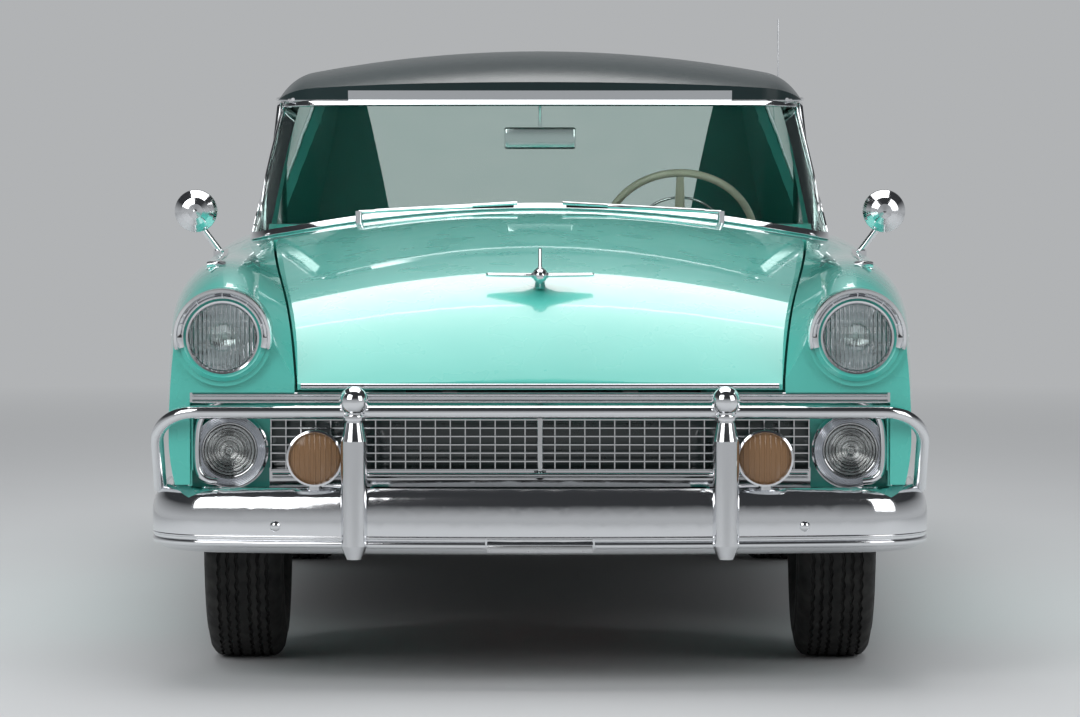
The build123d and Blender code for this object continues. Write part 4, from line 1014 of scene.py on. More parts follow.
def bumper_trim():
    """The bolts and lips of both bumpers, the collars of the guard's posts and the plate bar."""
    bumpers = (("front", 1), ("rear", -1))
    bolt = [(0, 0.0), (0.0125, 0.0), (0.0125, 0.003), (0.009, 0.007), (0.004, 0.009), (0, 0.0095)]
    for end, way in bumpers:
        spot, normal = on(end + "_bumper", (0.635, -4 * way, 0.390), (0, way, 0))
        head = turned("bolt", bolt, (0, 0, 0), axis="Z", steps=24)
        head.data.transform(Matrix.Translation(spot) @ normal.to_track_quat("Z", "Y").to_matrix().to_4x4())
        plated_pair(head, end + "_bumper_bolt")
    for side, sign in sides:
        collar = [(0.0200, -0.008), (0.0255, -0.006), (0.0268, 0.0), (0.0255, 0.006), (0.0200, 0.008)]
        neck = turned("guard_collar", collar, place(0.445 * sign, 0.036, 0.652), axis="Z", steps=32)
        plated(neck, "guard_collar_" + side)
    plate_edge, clear_of_plate = 0.131, 0.135
    for end, way in bumpers:
        for tag, height, radius in (("low", 0.347, 0.0095), ("seam", 0.364, 0.004)):
            line = round_the_end(end + "_bumper", way, height)
            parts = [line]
            if (end, tag) == ("front", "low"):
                stops = [on("front_bumper", (x, -4, height), (0, 1, 0))[0] for x in (-plate_edge, plate_edge)]
                parts = [
                    [p for p in line if p.x < -clear_of_plate] + stops[:1],
                    stops[1:] + [p for p in line if p.x > clear_of_plate],
                ]
            lips = [tube("lip", part, radius) for part in parts]
            plated(joined("lip", *lips), f"{end}_bumper_{tag}_lip")
    plate_bar = block("plate_bar", place(-0.126, 0.004, 0.3325), place(0.126, 0.0085, 0.3475), 0.0015)
    plated(plate_bar, "plate_bar", metal="satin_metal")


def ornaments():
    """The hood's winged ornament, the arrows on the fenders and the strips behind them."""
    half = ((0.036, 0.424), (0.134, 0.470), (0.132, 0.486), (0.044, 0.492))
    wing = [(0, 0.404), *half, (0, 0.520)] + [(-x, s) for x, s in reversed(half)]
    spindle = [
        (0, -0.092), (0.010, -0.089), (0.0165, -0.080), (0.0195, -0.050), (0.018, 0.010), (0.010, 0.070),
        (0, 0.085),
    ]
    fin = ((0.425, 0.985), (0.470, 1.022), (0.510, 1.041), (0.540, 1.044), (0.556, 1.020), (0.566, 0.975))
    foot = ((0, 0.400), (0.012, 0.440), (0.010, 0.540), (-0.010, 0.540), (-0.012, 0.440))
    ornament = joined(
        "hood_bird",
        turned("spindle", spindle, place(0, 0.482, 0.978), steps=32),
        prism("wing", [place(x, s, 0.974) for x, s in wing], (0, 0, 0.0095), 0.003),
        prism("fin", [place(-0.0045, s, z) for s, z in fin], (0.009, 0, 0), 0.003),
        prism("foot", [place(x, s, 0.945) for x, s in foot], (0, 0, 0.03), 0.004),
    )
    modified(ornament, "REMESH", mode="VOXEL", voxel_size=0.0022)
    modified(ornament, "SMOOTH", factor=0.5, iterations=5)
    plated(ornament, "hood_bird", "hood", replaces=("hood_ornament",), angle=60)
    spots = [(0.776, 0.52), (0.800, 0.56), (0.824, 0.52), (0.812, 0.60), (0.788, 0.60)]
    top, _ = on("fender_left", (0.800, at(0.56), 2.0), (0, 0, -1))
    arrow = prism("fender_arrow", [Vector((x, at(s), top.z - 0.006)) for x, s in spots], (0, 0, 0.016), 0.003)
    plated_pair(arrow, "fender_arrow")
    line = [place(x, s, 0) for x, s in ((0.800, 0.60), (0.812, 1.1), (0.832, 1.6), (0.850, 1.90))]
    plated_pair(strip("fender_top_strip", "fender_left", line, 0.012, (0, 0, -1), 0.005), "fender_top_strip")


def bordered(name, node, outward, width, rise):
    """A bright frame round a pane, from the border of the pane's outer face."""
    pane = copied(node, name)

    def pick(test):
        bpy.ops.mesh.select_all(action="DESELECT")
        mesh = bmesh.from_edit_mesh(pane.data)
        for face in mesh.faces:
            face.select = test(face)
        mesh.select_flush(True)
        bmesh.update_edit_mesh(pane.data)

    def outer(face):
        return face.normal.dot(outward(face.calc_center_median())) > 0.6

    mesh_ops = bpy.ops.mesh
    edited(
        pane,
        lambda: pick(lambda face: not outer(face)),
        lambda: mesh_ops.delete(type="FACE"),
        lambda: mesh_ops.select_all(action="SELECT"),
        lambda: mesh_ops.dissolve_limited(angle_limit=radians(0.4)),
        lambda: mesh_ops.select_all(action="SELECT"),
        lambda: mesh_ops.inset(thickness=width, use_boundary=True, use_even_offset=True),
        lambda: mesh_ops.delete(type="FACE"),
    )
    modified(pane, "SOLIDIFY", thickness=rise, offset=1)
    closed(pane)
    return bevelled(pane, 0.0012, 2, 50)


def glass_trim():
    """The bright frames round the panes and the drip rails over the doors."""
    width = sizes().moulding
    middle = Vector((0, at(3.0), 0))

    def flat(centre):
        way = centre - middle
        way.z = 0.35 * way.length
        return way.normalized()

    panes = (("windshield_moulding", "windshield", 1.3), ("backlight_moulding", "rear_glass", 1.0))
    for name, node, share in panes:
        plated(bordered(name, node, flat, width * share, 0.006), name)
    for side, _ in sides:
        pane_frame = bordered("door_glass_frame", "door_glass_" + side, flat, width * 0.7, 0.004)
        plated(pane_frame, "door_glass_frame_" + side, "door_" + side)
    edge = (
        (0.678, 2.155), (0.709, 2.22), (0.7265, 2.30), (0.7305, 2.40), (0.7365, 2.75), (0.7375, 3.00),
        (0.7355, 3.20), (0.7235, 3.30), (0.7085, 3.40), (0.6840, 3.55), (0.6680, 3.64),
    )
    plated_pair(tube("drip_rail", [place(x, s, 1.3985) for x, s in edge], 0.0055), "drip_rail")


def wiper_blades():
    """The rubber blades under the wipers' arms."""
    outer, height, slope = 0.430, 1.106, 0.03
    for side, sign in sides:
        points = ((outer, 1.748), (0.250, 1.724), (0.070, 1.706))
        line = [place(x * sign, s, height + slope * (outer - x)) for x, s in points]
        dressed(tube("blade", line, 0.0035), "wiper_blade_" + side, "body", "tyre_rubber", "rubber")


def side_trim():
    """The bright spear along each side and the door handles."""
    spear_height, handle_height, handle_station, legs = 0.812, 0.905, 3.05, 6
    runs = (("fender", 0.62, 2.066, fixed), ("door", 2.079, 3.211, doors), ("quarter", 3.224, 4.86, fixed))
    for label, first, last, bodies in runs:
        line = [place(0, first + (last - first) * i / legs, spear_height) for i in range(legs + 1)]
        name = label + "_spear"
        plated_pair(strip(name, label + "_left", line, sizes().spear, (-1, 0, 0), 0.007, 60), name, bodies)
    spot, _ = on("door_left", (1.5, at(handle_station), handle_height), (-1, 0, 0))
    x = spot.x
    half = [(x - 0.012, -0.085), (x + 0.018, -0.078), (x + 0.026, -0.04)]
    grip = half + [(a, -b) for a, b in reversed(half)]
    bar = tube("door_handle", [Vector((a, at(handle_station) + b, handle_height)) for a, b in grip], 0.0085)
    button = [(0, 0), (0.014, 0), (0.014, 0.010), (0.011, 0.014), (0, 0.015)]
    button_spot = (x - 0.004, at(handle_station + 0.115), handle_height)
    handle = joined("door_handle", bar, turned("button", button, button_spot, axis="X", steps=28))
    plated_pair(handle, "door_pull", doors, replaces=("door_handle_{}",))


def rear_trim():
    """The tail lamps' rings, the deck lid's handle and the plate on the rear bumper."""
    centre = place(*tail_lamp)
    rim = [
        (0.0862, 0.0), (0.0862, 0.012), (0.0900, 0.022), (0.0960, 0.020), (0.0980, 0.006), (0.0960, -0.004),
    ]
    plated_ring("tail_rim", rim, centre, 56)
    ring = [(0.030, 0.0595), (0.030, 0.063), (0.034, 0.066), (0.040, 0.065), (0.042, 0.0590)]
    plated_ring("tail_ring", ring, centre)
    high = 0.70
    spot, _ = on("deck_lid", (0, 4, high), (0, -1, 0))
    arch = [
        (-0.09, -0.004, high), (-0.07, 0.020, high), (0, 0.032, 0.695), (0.07, 0.020, high),
        (0.09, -0.004, high),
    ]
    handle = tube("lid_handle", [Vector((a, spot.y + b, c)) for a, b, c in arch], 0.008)
    plated(handle, "lid_handle", "deck_lid")
    spot, _ = on("rear_bumper", (0, 4, 0.40), (0, -1, 0))
    half_plate = 0.155
    plate = block("rear_plate", (-half_plate, spot.y - 0.003, 0.335), (half_plate, spot.y, 0.470))
    plated(plate, "rear_plate", metal="satin_metal")


def tyre_section(groove):
    """The tyre's closed section as (radius, offset) pairs, with ribs on its tread and rings on its wall."""
    bead, r = 0.196, tyre_radius
    wall = (
        (0, 0.075), (0.017, 0.0755), (0.030, 0.084), (0.048, 0.0935), (0.062, 0.0975), (0.064, 0.0965),
        (0.066, 0.098), (0.100, 0.098), (0.102, 0.0965), (0.116, 0.0945),
    )
    half = [(bead + rise, offset) for rise, offset in wall]
    half += [(r - 0.024, 0.0905), (r - 0.013, 0.0835), (r - 0.0045, 0.0745)]
    for edge in (0.058, 0.036, 0.014):
        half += [(r - 0.0012, edge + 0.006), (r - groove, edge + 0.004), (r - groove, edge - 0.001)]
        half.append((r - 0.0003, edge - 0.003))
    inner = [
        (r - 0.022, 0.0), (r - 0.024, 0.060), (r - 0.040, 0.078),
        (bead + 0.080, 0.082), (bead + 0.040, 0.076), (bead, 0.062),
    ]
    outer = half + [(p, -d) for p, d in reversed(half)]
    return outer + [(p, -d) for p, d in reversed(inner)] + inner[1:]


def shift_blocks(tyre, centre, steps, groove):
    """Staggers the tread's blocks and notches the tyre's shoulders."""
    tread, shoulder, stagger, notch = 0.066, 0.070, 0.0022, 0.0035
    for vertex in tyre.data.vertices:
        offset = vertex.co - centre
        out = Vector((offset.y, offset.z))
        step = round(steps * (Vector((1, 0)).angle_signed(out) / (2 * pi)))
        if out.length > tyre_radius - groove - 0.001 and abs(offset.x) < tread:
            vertex.co.x += stagger if step % 2 else -stagger
        elif out.length > tyre_radius - 0.016 and abs(offset.x) > shoulder and step % 4 == 0:
            vertex.co -= Vector((0, offset.y, offset.z)).normalized() * notch


def tyres_and_covers():
    """The treaded tyres and the ribbed covers of the four wheels."""
    groove, steps, rib_count = sizes().groove, 2 * sizes().blocks, 24
    cover = [
        (0, 0.0930), (0.020, 0.0925), (0.036, 0.0895), (0.046, 0.0820), (0.050, 0.0745), (0.070, 0.0720),
        (0.110, 0.0745), (0.116, 0.0700), (0.122, 0.0745), (0.166, 0.0800), (0.180, 0.0860), (0.190, 0.0860),
        (0.193, 0.0815), (0.186, 0.0815), (0.110, 0.0690), (0.050, 0.0680), (0, 0.0800),
    ]
    for (end, axle, track), wheels in zip(ends, (front_wheels, rear_wheels)):
        centre = place(track / 2, axle, tyre_radius)
        tyre = turned("tyre", tyre_section(groove), centre, axis="X", steps=steps)
        shift_blocks(tyre, centre, steps, groove)
        worn = (f"tyre_{end}_{{}}",)
        both_sides(tyre, "road_tyre_" + end, wheels, "tyre_rubber", "rubber", replaces=worn, angle=28)
        disc = turned("cover", cover, centre, axis="X", steps=64)
        plated_pair(disc, "wheel_cover_" + end, wheels, angle=24)
        rib = block("rib", (0.0735, -0.006, 0.127), (0.0825, 0.006, 0.165), 0.003)
        ribs = []
        for i in range(rib_count):
            one = duplicate(rib, "rib")
            one.data.transform(Matrix.Translation(centre) @ Matrix.Rotation(2 * pi * i / rib_count, 4, "X"))
            ribs.append(one)
        bpy.data.objects.remove(rib)
        plated_pair(joined("ribs", *ribs), "cover_ribs_" + end, wheels, "satin_metal")


def cushion(name, side_line, half_width, bevel):
    """A padded bench part from its side outline, blown up a little where nothing holds it."""
    pressure, last_frame, voxel = 4.0, 12, 0.013
    points = [place(-half_width, s, z) for s, z in side_line]
    pad = prism(name, points, (2 * half_width, 0, 0))
    bevelled(pad, bevel, 4, 30)
    modified(pad, "REMESH", mode="VOXEL", voxel_size=voxel)
    before = [vertex.co.copy() for vertex in pad.data.vertices]
    only(pad)
    cloth = pad.modifiers.new("Cloth", "CLOTH")
    cloth.settings.use_pressure = True
    cloth.settings.uniform_pressure_force = pressure
    cloth.settings.effector_weights.gravity = 0.0
    scene = bpy.context.scene
    for step in range(1, last_frame + 1):
        scene.frame_set(step)
    bpy.ops.object.modifier_apply(modifier=cloth.name)
    scene.frame_set(1)
    most = sizes().puff
    for vertex, start in zip(pad.data.vertices, before):
        moved = vertex.co - start
        if moved.length > most:
            vertex.co = start + moved.normalized() * most
    modified(pad, "SMOOTH", factor=0.5, iterations=3)
    return modified(pad, "SUBSURF", levels=1, render_levels=1)


def sewn(pad, half_width, top, along, first, last):
    """Sinks the pleats and the seams of a bench part into its cover, along Y (1) or Z (2)."""
    pleat, depth, fade = sizes().pleat, 0.007, 0.03
    for vertex in pad.data.vertices:
        if abs(vertex.co.x) > half_width or not top(vertex):
            continue
        run = min(1.0, (vertex.co[along] - first) / fade, (last - vertex.co[along]) / fade)
        if run <= 0:
            continue
        gap = abs((vertex.co.x / pleat) % 1.0 - 0.5) * 2
        vertex.co -= vertex.normal * depth * run * gap ** 6


def upholstered(pad, name, half_width, inside, node):
    """Dresses a padded piece in plain vinyl, with the woven insert on its middle."""
    dressed(pad, name, "body", "upholstery", "trim_vinyl", "insert", replaces=(node,), angle=80)
    for polygon in pad.data.polygons:
        if abs(polygon.center.x) < half_width and inside(polygon):
            polygon.material_index = 1


def seats():
    """Both benches, with pleated middles between plain bolsters."""
    # The width of the pleats, then each part's outline, half width, bevel and the ends of its pleats
    benches = (
        ("front", 0.54, (
            [(2.572, 0.405), (3.040, 0.405), (3.040, 0.548), (2.572, 0.588)], 0.620, 0.045, 2.60, 3.04, 2.62,
        ), (
            [(3.072, 0.560), (3.140, 0.480), (3.250, 0.905), (3.190, 0.930)], 0.622, 0.030, 0.58, 0.86,
        )),
        ("rear", 0.47, (
            [(3.430, 0.586), (3.780, 0.586), (3.790, 0.650), (3.430, 0.688)], 0.545, 0.032, 3.46, 3.78, 3.47,
        ), (
            [(3.812, 0.640), (3.895, 0.600), (3.990, 0.950), (3.938, 0.960)], 0.545, 0.028, 0.66, 0.90,
        )),
    )
    for end, middle, seat, rest in benches:
        line, half_width, bevel, first, last, insert_from = seat
        base = cushion(end + "_cushion", line, half_width, bevel)
        sewn(base, middle, lambda v: v.normal.z > 0.5, 1, at(first), at(last))
        upholstered(
            base, end + "_cushion", middle, lambda p: p.normal.z > 0.45 and p.center.y > at(insert_from),
            end + "_seat",
        )
        line, half_width, bevel, low, high = rest
        back = cushion(end + "_back", line, half_width, bevel)
        sewn(back, middle, lambda v: v.normal.y < -0.5, 2, low, high)
        upholstered(
            back, end + "_back", middle, lambda p: p.normal.y < -0.45 and p.center.z < high, end + "_seat",
        )
    skirt = block("seat_skirt", place(-0.60, 2.60, 0.394), place(0.60, 3.04, 0.412), 0.004)
    dressed(skirt, "seat_skirt", "body", "upholstery", "trim_vinyl")


def on_column(obj):
    """Moves a piece made round the Z axis onto the steering column, facing the driver."""
    towards = Vector((0, cos(column_angle), sin(column_angle)))
    across = Vector((1, 0, 0))
    turn = Matrix((across, towards.cross(across), towards)).transposed().to_4x4()
    obj.data.transform(Matrix.Translation(place(*wheel_hub)) @ turn)
    return obj


def steering():
    """The steering wheel with its grips, spokes and horn ring, and the shaft behind it."""
    radius, grips, origin = 0.2095, 48, (0, 0, 0)
    only(None)
    bpy.ops.mesh.primitive_torus_add(
        major_radius=radius, minor_radius=0.0108, major_segments=96, minor_segments=14,
    )
    rim = bpy.context.object
    for vertex in rim.data.vertices:
        turn = Vector((1, 0)).angle_signed(vertex.co.xy) if vertex.co.xy.length else 0
        ring = vertex.co.xy.normalized() * radius
        centre = Vector((ring.x, ring.y, 0))
        vertex.co = centre + (vertex.co - centre) * (1.0 + 0.05 * sin(turn * grips))
    parts = [rim]
    for turn in (0, pi, -pi / 2):
        spoke = block("spoke", (0.028, -0.014, -0.008), (0.205, 0.014, 0.004), 0.005, 3)
        for vertex in spoke.data.vertices:
            vertex.co.y *= 1.25 - vertex.co.x * 2.6
            vertex.co.z -= 0.010 * (1 - vertex.co.x / 0.205)
        spoke.data.transform(Matrix.Rotation(turn, 4, "Z"))
        parts.append(spoke)
    boss = [(0, -0.020), (0.034, -0.020), (0.038, -0.004), (0.034, 0.008), (0, 0.012)]
    wheel = on_column(joined("steering_rim", *parts, turned("hub", boss, origin, axis="Z")))
    node = "steering_wheel"
    dressed(wheel, "steering_rim", node, "ivory_plastic", "ivory", replaces=(node,), angle=50)
    arc = [(0.125 * cos(a), 0.125 * sin(a), 0.008) for a in (radians(180 + 12 * i) for i in range(16))]
    ring = tube("horn_ring", arc, 0.0035)
    button = [(0, 0.011), (0.026, 0.011), (0.027, 0.016), (0.020, 0.022), (0, 0.025)]
    cap = turned("horn_cap", button, origin, axis="Z", steps=36)
    link = block("link", (-0.127, -0.004, 0.004), (0.127, 0.004, 0.010))
    plated(on_column(joined("horn_ring", ring, cap, link)), "horn_ring", node)
    bar = [(0, -0.150), (0.0118, -0.150), (0.0118, -0.018), (0, -0.018)]
    shaft = on_column(turned("shaft", bar, origin, axis="Z", steps=24))
    plated(shaft, "steering_shaft", node, "satin_metal")


def cabin_fittings():
    """The inside mirror and the dial, radio, knobs and strips of the dashboard."""
    glass = block("mirror", place(-0.098, 2.196, 1.262), place(0.098, 2.212, 1.322), 0.006, 3)
    bend = ((2.204, 1.310), (2.206, 1.350), (2.190, 1.397))
    stalk = tube("stalk", [place(0, s, z) for s, z in bend], 0.005)
    plated(joined("inside_mirror", glass, stalk), "inside_mirror")
    face = block("mirror_face", place(-0.092, 2.2115, 1.267), place(0.092, 2.2135, 1.317), 0.0008)
    plated(face, "mirror_face", metal="mirror")
    column = wheel_hub[0]
    disc = [(0, 0.0), (0.082, 0.0), (0.086, -0.004), (0.086, 0.006), (0, 0.006)]
    dial = turned("dial", disc, place(column, 2.258, dial_height), steps=48)
    dressed(dial, "speed_dial", "body", "interior_trim", "dial")
    arc = [(0.094 * cos(a), 0.094 * sin(a)) for a in (radians(15 * i) for i in range(13))]
    lips = ((2.240, 1.05), (2.285, 1.0), (2.290, 0.97))
    rows = [[place(column + x * k, s, dial_height + z * k) for s, k in lips] for x, z in arc]
    pod = modified(patch("dial_hood", rows), "SOLIDIFY", thickness=0.006, offset=0)
    plated(closed(pod), "dial_hood")
    radio = block("radio", place(-0.10, 2.238, 0.952), place(0.10, 2.268, 1.000), 0.004)
    plated(radio, "radio", metal="satin_metal")
    knob = [
        (0, 0.036), (0.010, 0.036), (0.012, 0.030), (0.010, 0.018), (0.005, 0.014), (0.005, -0.02),
        (0, -0.02),
    ]
    upper, lower = (-0.13, 0.13), (0.20, 0.26, 0.52, 0.58, -0.20, -0.02)
    spots = [(x, 0.975) for x in upper] + [(x, 0.915) for x in lower]
    knobs = [turned("knob", knob, place(x, 2.246, z), steps=20) for x, z in spots]
    dressed(joined("knobs", *knobs), "dash_knobs", "body", "ivory_plastic", "ivory")
    line = [place(x, 2.262, 1.012) for x in (-0.66, 0, 0.66)]
    plated(tube("dash_strip", line, 0.005, smooth=False), "dash_strip")
    left, right, low, high = -0.56, -0.24, 0.905, 0.995
    corners = ((left, high), (right, high), (right, low), (left, low), (left, high))
    edge = [place(x, 2.2565, z) for x, z in corners]
    plated(tube("glove_box_edge", edge, 0.0022, smooth=False), "glove_box_edge")


def door_cards():
    """The doors' inner trim: a two-colour padded panel with its armrest, handles and bright strips."""
    inner = 0.8455

    def door_block(label, deep, front, low, shallow, back, high, bevel, segments=2):
        """A block between two corners whose first values are depths from the door's inner face."""
        low_corner, high_corner = (inner - deep, at(front), low), (inner - shallow, at(back), high)
        return block(label, low_corner, high_corner, bevel, segments)

    card = door_block("card", 0.009, 2.105, 0.405, 0, 3.190, 0.865, 0.003)
    both_sides(card, "door_card", doors, "upholstery", "trim_vinyl")
    insert = door_block("insert", 0.014, 2.16, 0.56, 0.0085, 3.14, 0.75, 0.004)
    both_sides(insert, "door_insert", doors, "upholstery", "insert")
    strips = [door_block("strip", 0.0165, 2.15, z, 0.009, 3.15, z + 0.009, 0.002) for z in (0.552, 0.750)]
    plated_pair(joined("strips", *strips), "door_card_strips", doors)
    rest = door_block("rest", 0.062, 2.66, 0.60, 0.012, 3.00, 0.655, 0.018, 4)
    both_sides(rest, "armrest", doors, "upholstery", "trim_vinyl")
    crank = (
        (0.014, 2.50, 0.67), (0.030, 2.50, 0.67), (0.034, 2.53, 0.66), (0.036, 2.60, 0.64),
        (0.060, 2.60, 0.64),
    )
    lever = ((0.014, 2.30, 0.80), (0.032, 2.30, 0.80), (0.036, 2.32, 0.80), (0.036, 2.40, 0.805))
    pieces = [tube("crank", [place(inner - d, s, z) for d, s, z in line], 0.005) for line in (crank, lever)]
    plated_pair(joined("cranks", *pieces), "door_cranks", doors)


def engine_dressing():
    """What shows with the hood up: the air cleaner, valve covers, battery, fan and hoses."""
    lid = [
        (0, 0.925), (0.020, 0.925), (0.024, 0.918), (0.150, 0.912), (0.172, 0.900), (0.173, 0.856),
        (0.165, 0.850), (0, 0.850),
    ]
    foot = place(0, cleaner_station, 0)
    cleaner = turned("air_cleaner", lid, foot, axis="Z", steps=56)
    dressed(cleaner, "air_cleaner", "body", "black_metal", "chassis")
    barrel = [(0, 0.924), (0.012, 0.924), (0.010, 0.934), (0, 0.936)]
    nut = turned("nut", barrel, foot, axis="Z", steps=16)
    corners = [place(0.024 * way, cleaner_station + 0.0025 * way, z) for way, z in ((-1, 0.926), (1, 0.938))]
    wings = block("wings", *corners)
    plated(joined("nut", nut, wings), "cleaner_nut")
    cover = block("cover", place(0.165, 0.76, 0.838), place(0.245, 1.27, 0.872), 0.014, 4)
    both_sides(cover, "valve_cover", fixed, "cast_iron", "engine_paint")
    centre = place(*fan_centre)
    hub = [(0, 0.0), (0.030, 0.0), (0.030, 0.020), (0, 0.020)]
    blades = [turned("fan_hub", hub, place(0, fan_centre[1] - 0.010, fan_centre[2]), steps=24)]
    for i in range(4):
        blade = block("blade", (0.025, -0.002, -0.035), (0.185, 0.002, 0.035), 0.0012)
        blade.data.transform(Matrix.Rotation(radians(25), 4, "X"))
        blade.data.transform(Matrix.Translation(centre) @ Matrix.Rotation(pi / 2 * i + 0.5, 4, "Y"))
        blades.append(blade)
    dressed(joined("fan", *blades), "fan", "body", "black_metal", "chassis")
    fins = []
    for x in [i * 0.012 for i in range(-25, 26)]:
        fins.append(block("fin", place(x - 0.003, 0.4705, 0.45), place(x + 0.003, 0.474, 0.80), 0.0008, 1))
    dressed(joined("fins", *fins), "radiator_fins", "body", "black_metal", "steel")
    filler = [(0, 0.850), (0.030, 0.850), (0.030, 0.862), (0.022, 0.868), (0, 0.870)]
    cap = turned("cap", filler, place(0.12, 0.44, 0), axis="Z", steps=24)
    plated(cap, "radiator_cap", metal="satin_metal")
    run = ((0.18, 0.472, 0.80), (0.18, 0.54, 0.81), (0.15, 0.60, 0.80), (0.12, 0.66, 0.78))
    hose = tube("hose", [place(*point) for point in run], 0.024, 6)
    dressed(hose, "radiator_hose", "body", "tyre_rubber", "rubber")
    battery = block("battery", place(0.300, 0.50, 0.60), place(0.398, 0.72, 0.79), 0.006)
    dressed(battery, "battery", "body", "black_metal", "black_plastic")


def springs():
    """The front coil springs round their dampers, seated between the lower arms and the towers."""
    turns, steps, low, high, radius, middle = 6, 16, 0.3, 0.595, 0.052, 0.510
    line = []
    for i in range(turns * steps + 1):
        turn = 2 * pi * i / steps
        rise = (high - low) * i / (turns * steps)
        line.append(place(middle + radius * cos(turn), front_axle + radius * sin(turn), low + rise))
    both_sides(tube("coil", line, 0.0075, 3), "coil_spring", fixed, "black_metal", "chassis")


def stage():
    """The pale floor, a pale backdrop under a darker ceiling, four soft lamps and the camera."""
    scene = bpy.context.scene
    only(None)
    bpy.ops.mesh.primitive_plane_add(size=160)
    floor = bpy.context.object
    floor.name = "studio_floor"
    f = Finish("studio_floor", Roughness=0.75, Specular_IOR_Level=0.2)
    x, y, _ = f.axes()
    distance = f.root(x * x + y * y)
    pale = colours().floor
    f.set(Base_Color=f.mix(f.noise(0.8), tone(pale, 0.985), tone(pale, 1.015)))
    glow = f.node("ShaderNodeEmission", {}, (*backdrop, 1), seen_directly(f))
    faded = f.node("ShaderNodeMixShader", {}, f.ramp(distance, 4.5, 11.0), Wire(f, f.shader.outputs[0]), glow)
    f.feed(f.tree.nodes["Material Output"].inputs[0], faded)
    floor.data.materials.append(f.material)
    floor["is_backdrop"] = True
    world = bpy.data.worlds.new("studio")
    scene.world = world
    world.use_nodes = True
    w = Backdrop(world)
    _, _, up = w.axes()
    view = w.mix(w.ramp(up, 0.03, 0.42), backdrop, ceiling)
    shade = w.mix(seen_directly(w), tone(backdrop, daylight), view)
    w.feed(w.shader.inputs[0], shade)
    # Name, place, aim, size and power of each lamp
    lamps = (
        ("key", (-4.5, -7.5, 5.0), (0, 0, 0.8), 5.0, 300.0),
        ("fill", (5.5, -6.0, 3.5), (0, 0, 0.7), 4.0, 150.0),
        ("top", (0, -0.6, 5.0), (0, -0.6, 0), 4.5, 190.0),
        ("back", (0, 5.5, 6.5), (0, 0.8, 0.8), 4.0, 150.0),
    )
    for name, spot, aim, size, power in lamps:
        lamp = bpy.data.lights.new(name, "AREA")
        lamp.size = size
        lamp.energy = power * lamp_level
        lamp_object = bpy.data.objects.new(name, lamp)
        scene.collection.objects.link(lamp_object)
        lamp_object.location = spot
        lamp_object.rotation_euler = (Vector(aim) - Vector(spot)).to_track_quat("-Z", "Y").to_euler()
    camera = bpy.data.cameras.new("camera")
    camera.lens = sizes().lens
    camera_object = bpy.data.objects.new("camera", camera)
    scene.collection.objects.link(camera_object)
    camera_object.location = (0, -half_length - camera_distance, camera_height)
    camera_object.rotation_euler = (radians(90 - camera_tilt), 0, 0)
    scene.camera = camera_object
    scene.view_settings.view_transform = "Standard"


class CAR_OT_stage(bpy.types.Operator):
    """Add the floor, the soft lights and the camera at the photograph's angle"""

    bl_idname = "car.stage"
    bl_label = "Studio"

    def execute(self, context):
        stage()
        return {"FINISHED"}


class CAR_OT_finishes(bpy.types.Operator):
    """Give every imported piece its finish"""

    bl_idname = "car.finishes"
    bl_label = "Finishes"

    def execute(self, context):
        for name, nodes in NODE_FINISHES.items():
            for node in nodes:
                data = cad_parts[node].data
                data.materials.clear()
                data.materials.append(finish(name))
        return {"FINISHED"}


class CAR_OT_lamps(bpy.types.Operator):
    """Add the headlamps, parking lamps and fog lamps"""

    bl_idname = "car.lamps"
    bl_label = "Lamps"

    def execute(self, context):
        headlamps()
        parking_lamps()
        fog_lamp_glass()
        return {"FINISHED"}


class CAR_OT_front_trim(bpy.types.Operator):
    """Add the bright trim of the grille, bumper and hood"""

    bl_idname = "car.front_trim"
    bl_label = "Front trim"

    def execute(self, context):
        grille_trim()
        bumper_trim()
        ornaments()
        return {"FINISHED"}


class CAR_OT_body_trim(bpy.types.Operator):
    """Add the mouldings round the glass, the wiper blades and the side and rear trim"""

    bl_idname = "car.body_trim"
    bl_label = "Body trim"

    def execute(self, context):
        glass_trim()
        wiper_blades()
        side_trim()
        rear_trim()
        return {"FINISHED"}


class CAR_OT_wheels(bpy.types.Operator):
    """Add the treaded tyres and the wheel covers"""

    bl_idname = "car.wheels"
    bl_label = "Wheels"

    def execute(self, context):
        tyres_and_covers()
        return {"FINISHED"}


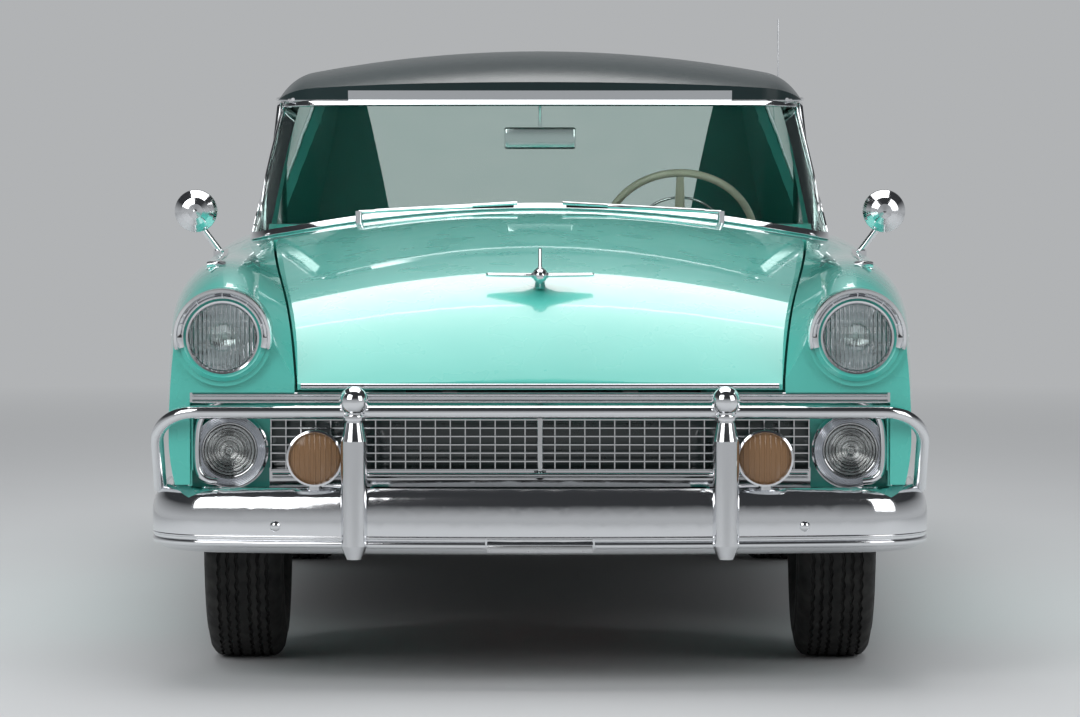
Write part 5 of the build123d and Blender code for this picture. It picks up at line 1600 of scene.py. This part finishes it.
class CAR_OT_seats(bpy.types.Operator):
    """Add the padded front and rear benches"""

    bl_idname = "car.seats"
    bl_label = "Seats"

    def execute(self, context):
        seats()
        return {"FINISHED"}


class CAR_OT_cabin(bpy.types.Operator):
    """Add the steering wheel, the dashboard's fittings and the doors' inner trim"""

    bl_idname = "car.cabin"
    bl_label = "Cabin"

    def execute(self, context):
        steering()
        cabin_fittings()
        door_cards()
        return {"FINISHED"}


class CAR_OT_mechanics(bpy.types.Operator):
    """Add the engine's dressing and the front springs"""

    bl_idname = "car.mechanics"
    bl_label = "Mechanics"

    def execute(self, context):
        engine_dressing()
        springs()
        return {"FINISHED"}


OPERATORS = (
    CAR_OT_stage, CAR_OT_finishes, CAR_OT_lamps, CAR_OT_front_trim, CAR_OT_body_trim,
    CAR_OT_wheels, CAR_OT_seats, CAR_OT_cabin, CAR_OT_mechanics,
)


class CAR_PT_panel(bpy.types.Panel):
    """Lists the groups of pieces in the sidebar"""

    bl_idname = "CAR_PT_panel"
    bl_label = "Two-door hardtop"
    bl_space_type = "VIEW_3D"
    bl_region_type = "UI"
    bl_category = "Car"

    def draw(self, context):
        for one in OPERATORS:
            self.layout.operator(one.bl_idname)
        for group in (context.scene.car_sizes, context.scene.car_colours):
            for name in group.bl_rna.properties.keys():
                if name not in ("rna_type", "name"):
                    self.layout.prop(group, name)


CLASSES = (CarColours, CarSizes, *OPERATORS, CAR_PT_panel)


def register():
    """Makes the classes and their settings known."""
    for one in CLASSES:
        bpy.utils.register_class(one)
    bpy.types.Scene.car_colours = PointerProperty(type=CarColours)
    bpy.types.Scene.car_sizes = PointerProperty(type=CarSizes)


def unregister():
    """Takes the settings and the classes away again."""
    del bpy.types.Scene.car_sizes
    del bpy.types.Scene.car_colours
    for one in reversed(CLASSES):
        bpy.utils.unregister_class(one)


def main():
    """Makes every piece and works out the box of the solids and of the dressed car."""
    solids_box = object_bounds()
    register()
    for one in OPERATORS:
        getattr(bpy.ops.car, one.bl_idname.split(".")[1])()
    boxes = {"cad": solids_box, "visual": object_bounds()}
    boxes = {name: [list(corner) for corner in box] for name, box in boxes.items()}


if __name__ == "__main__":
    main()
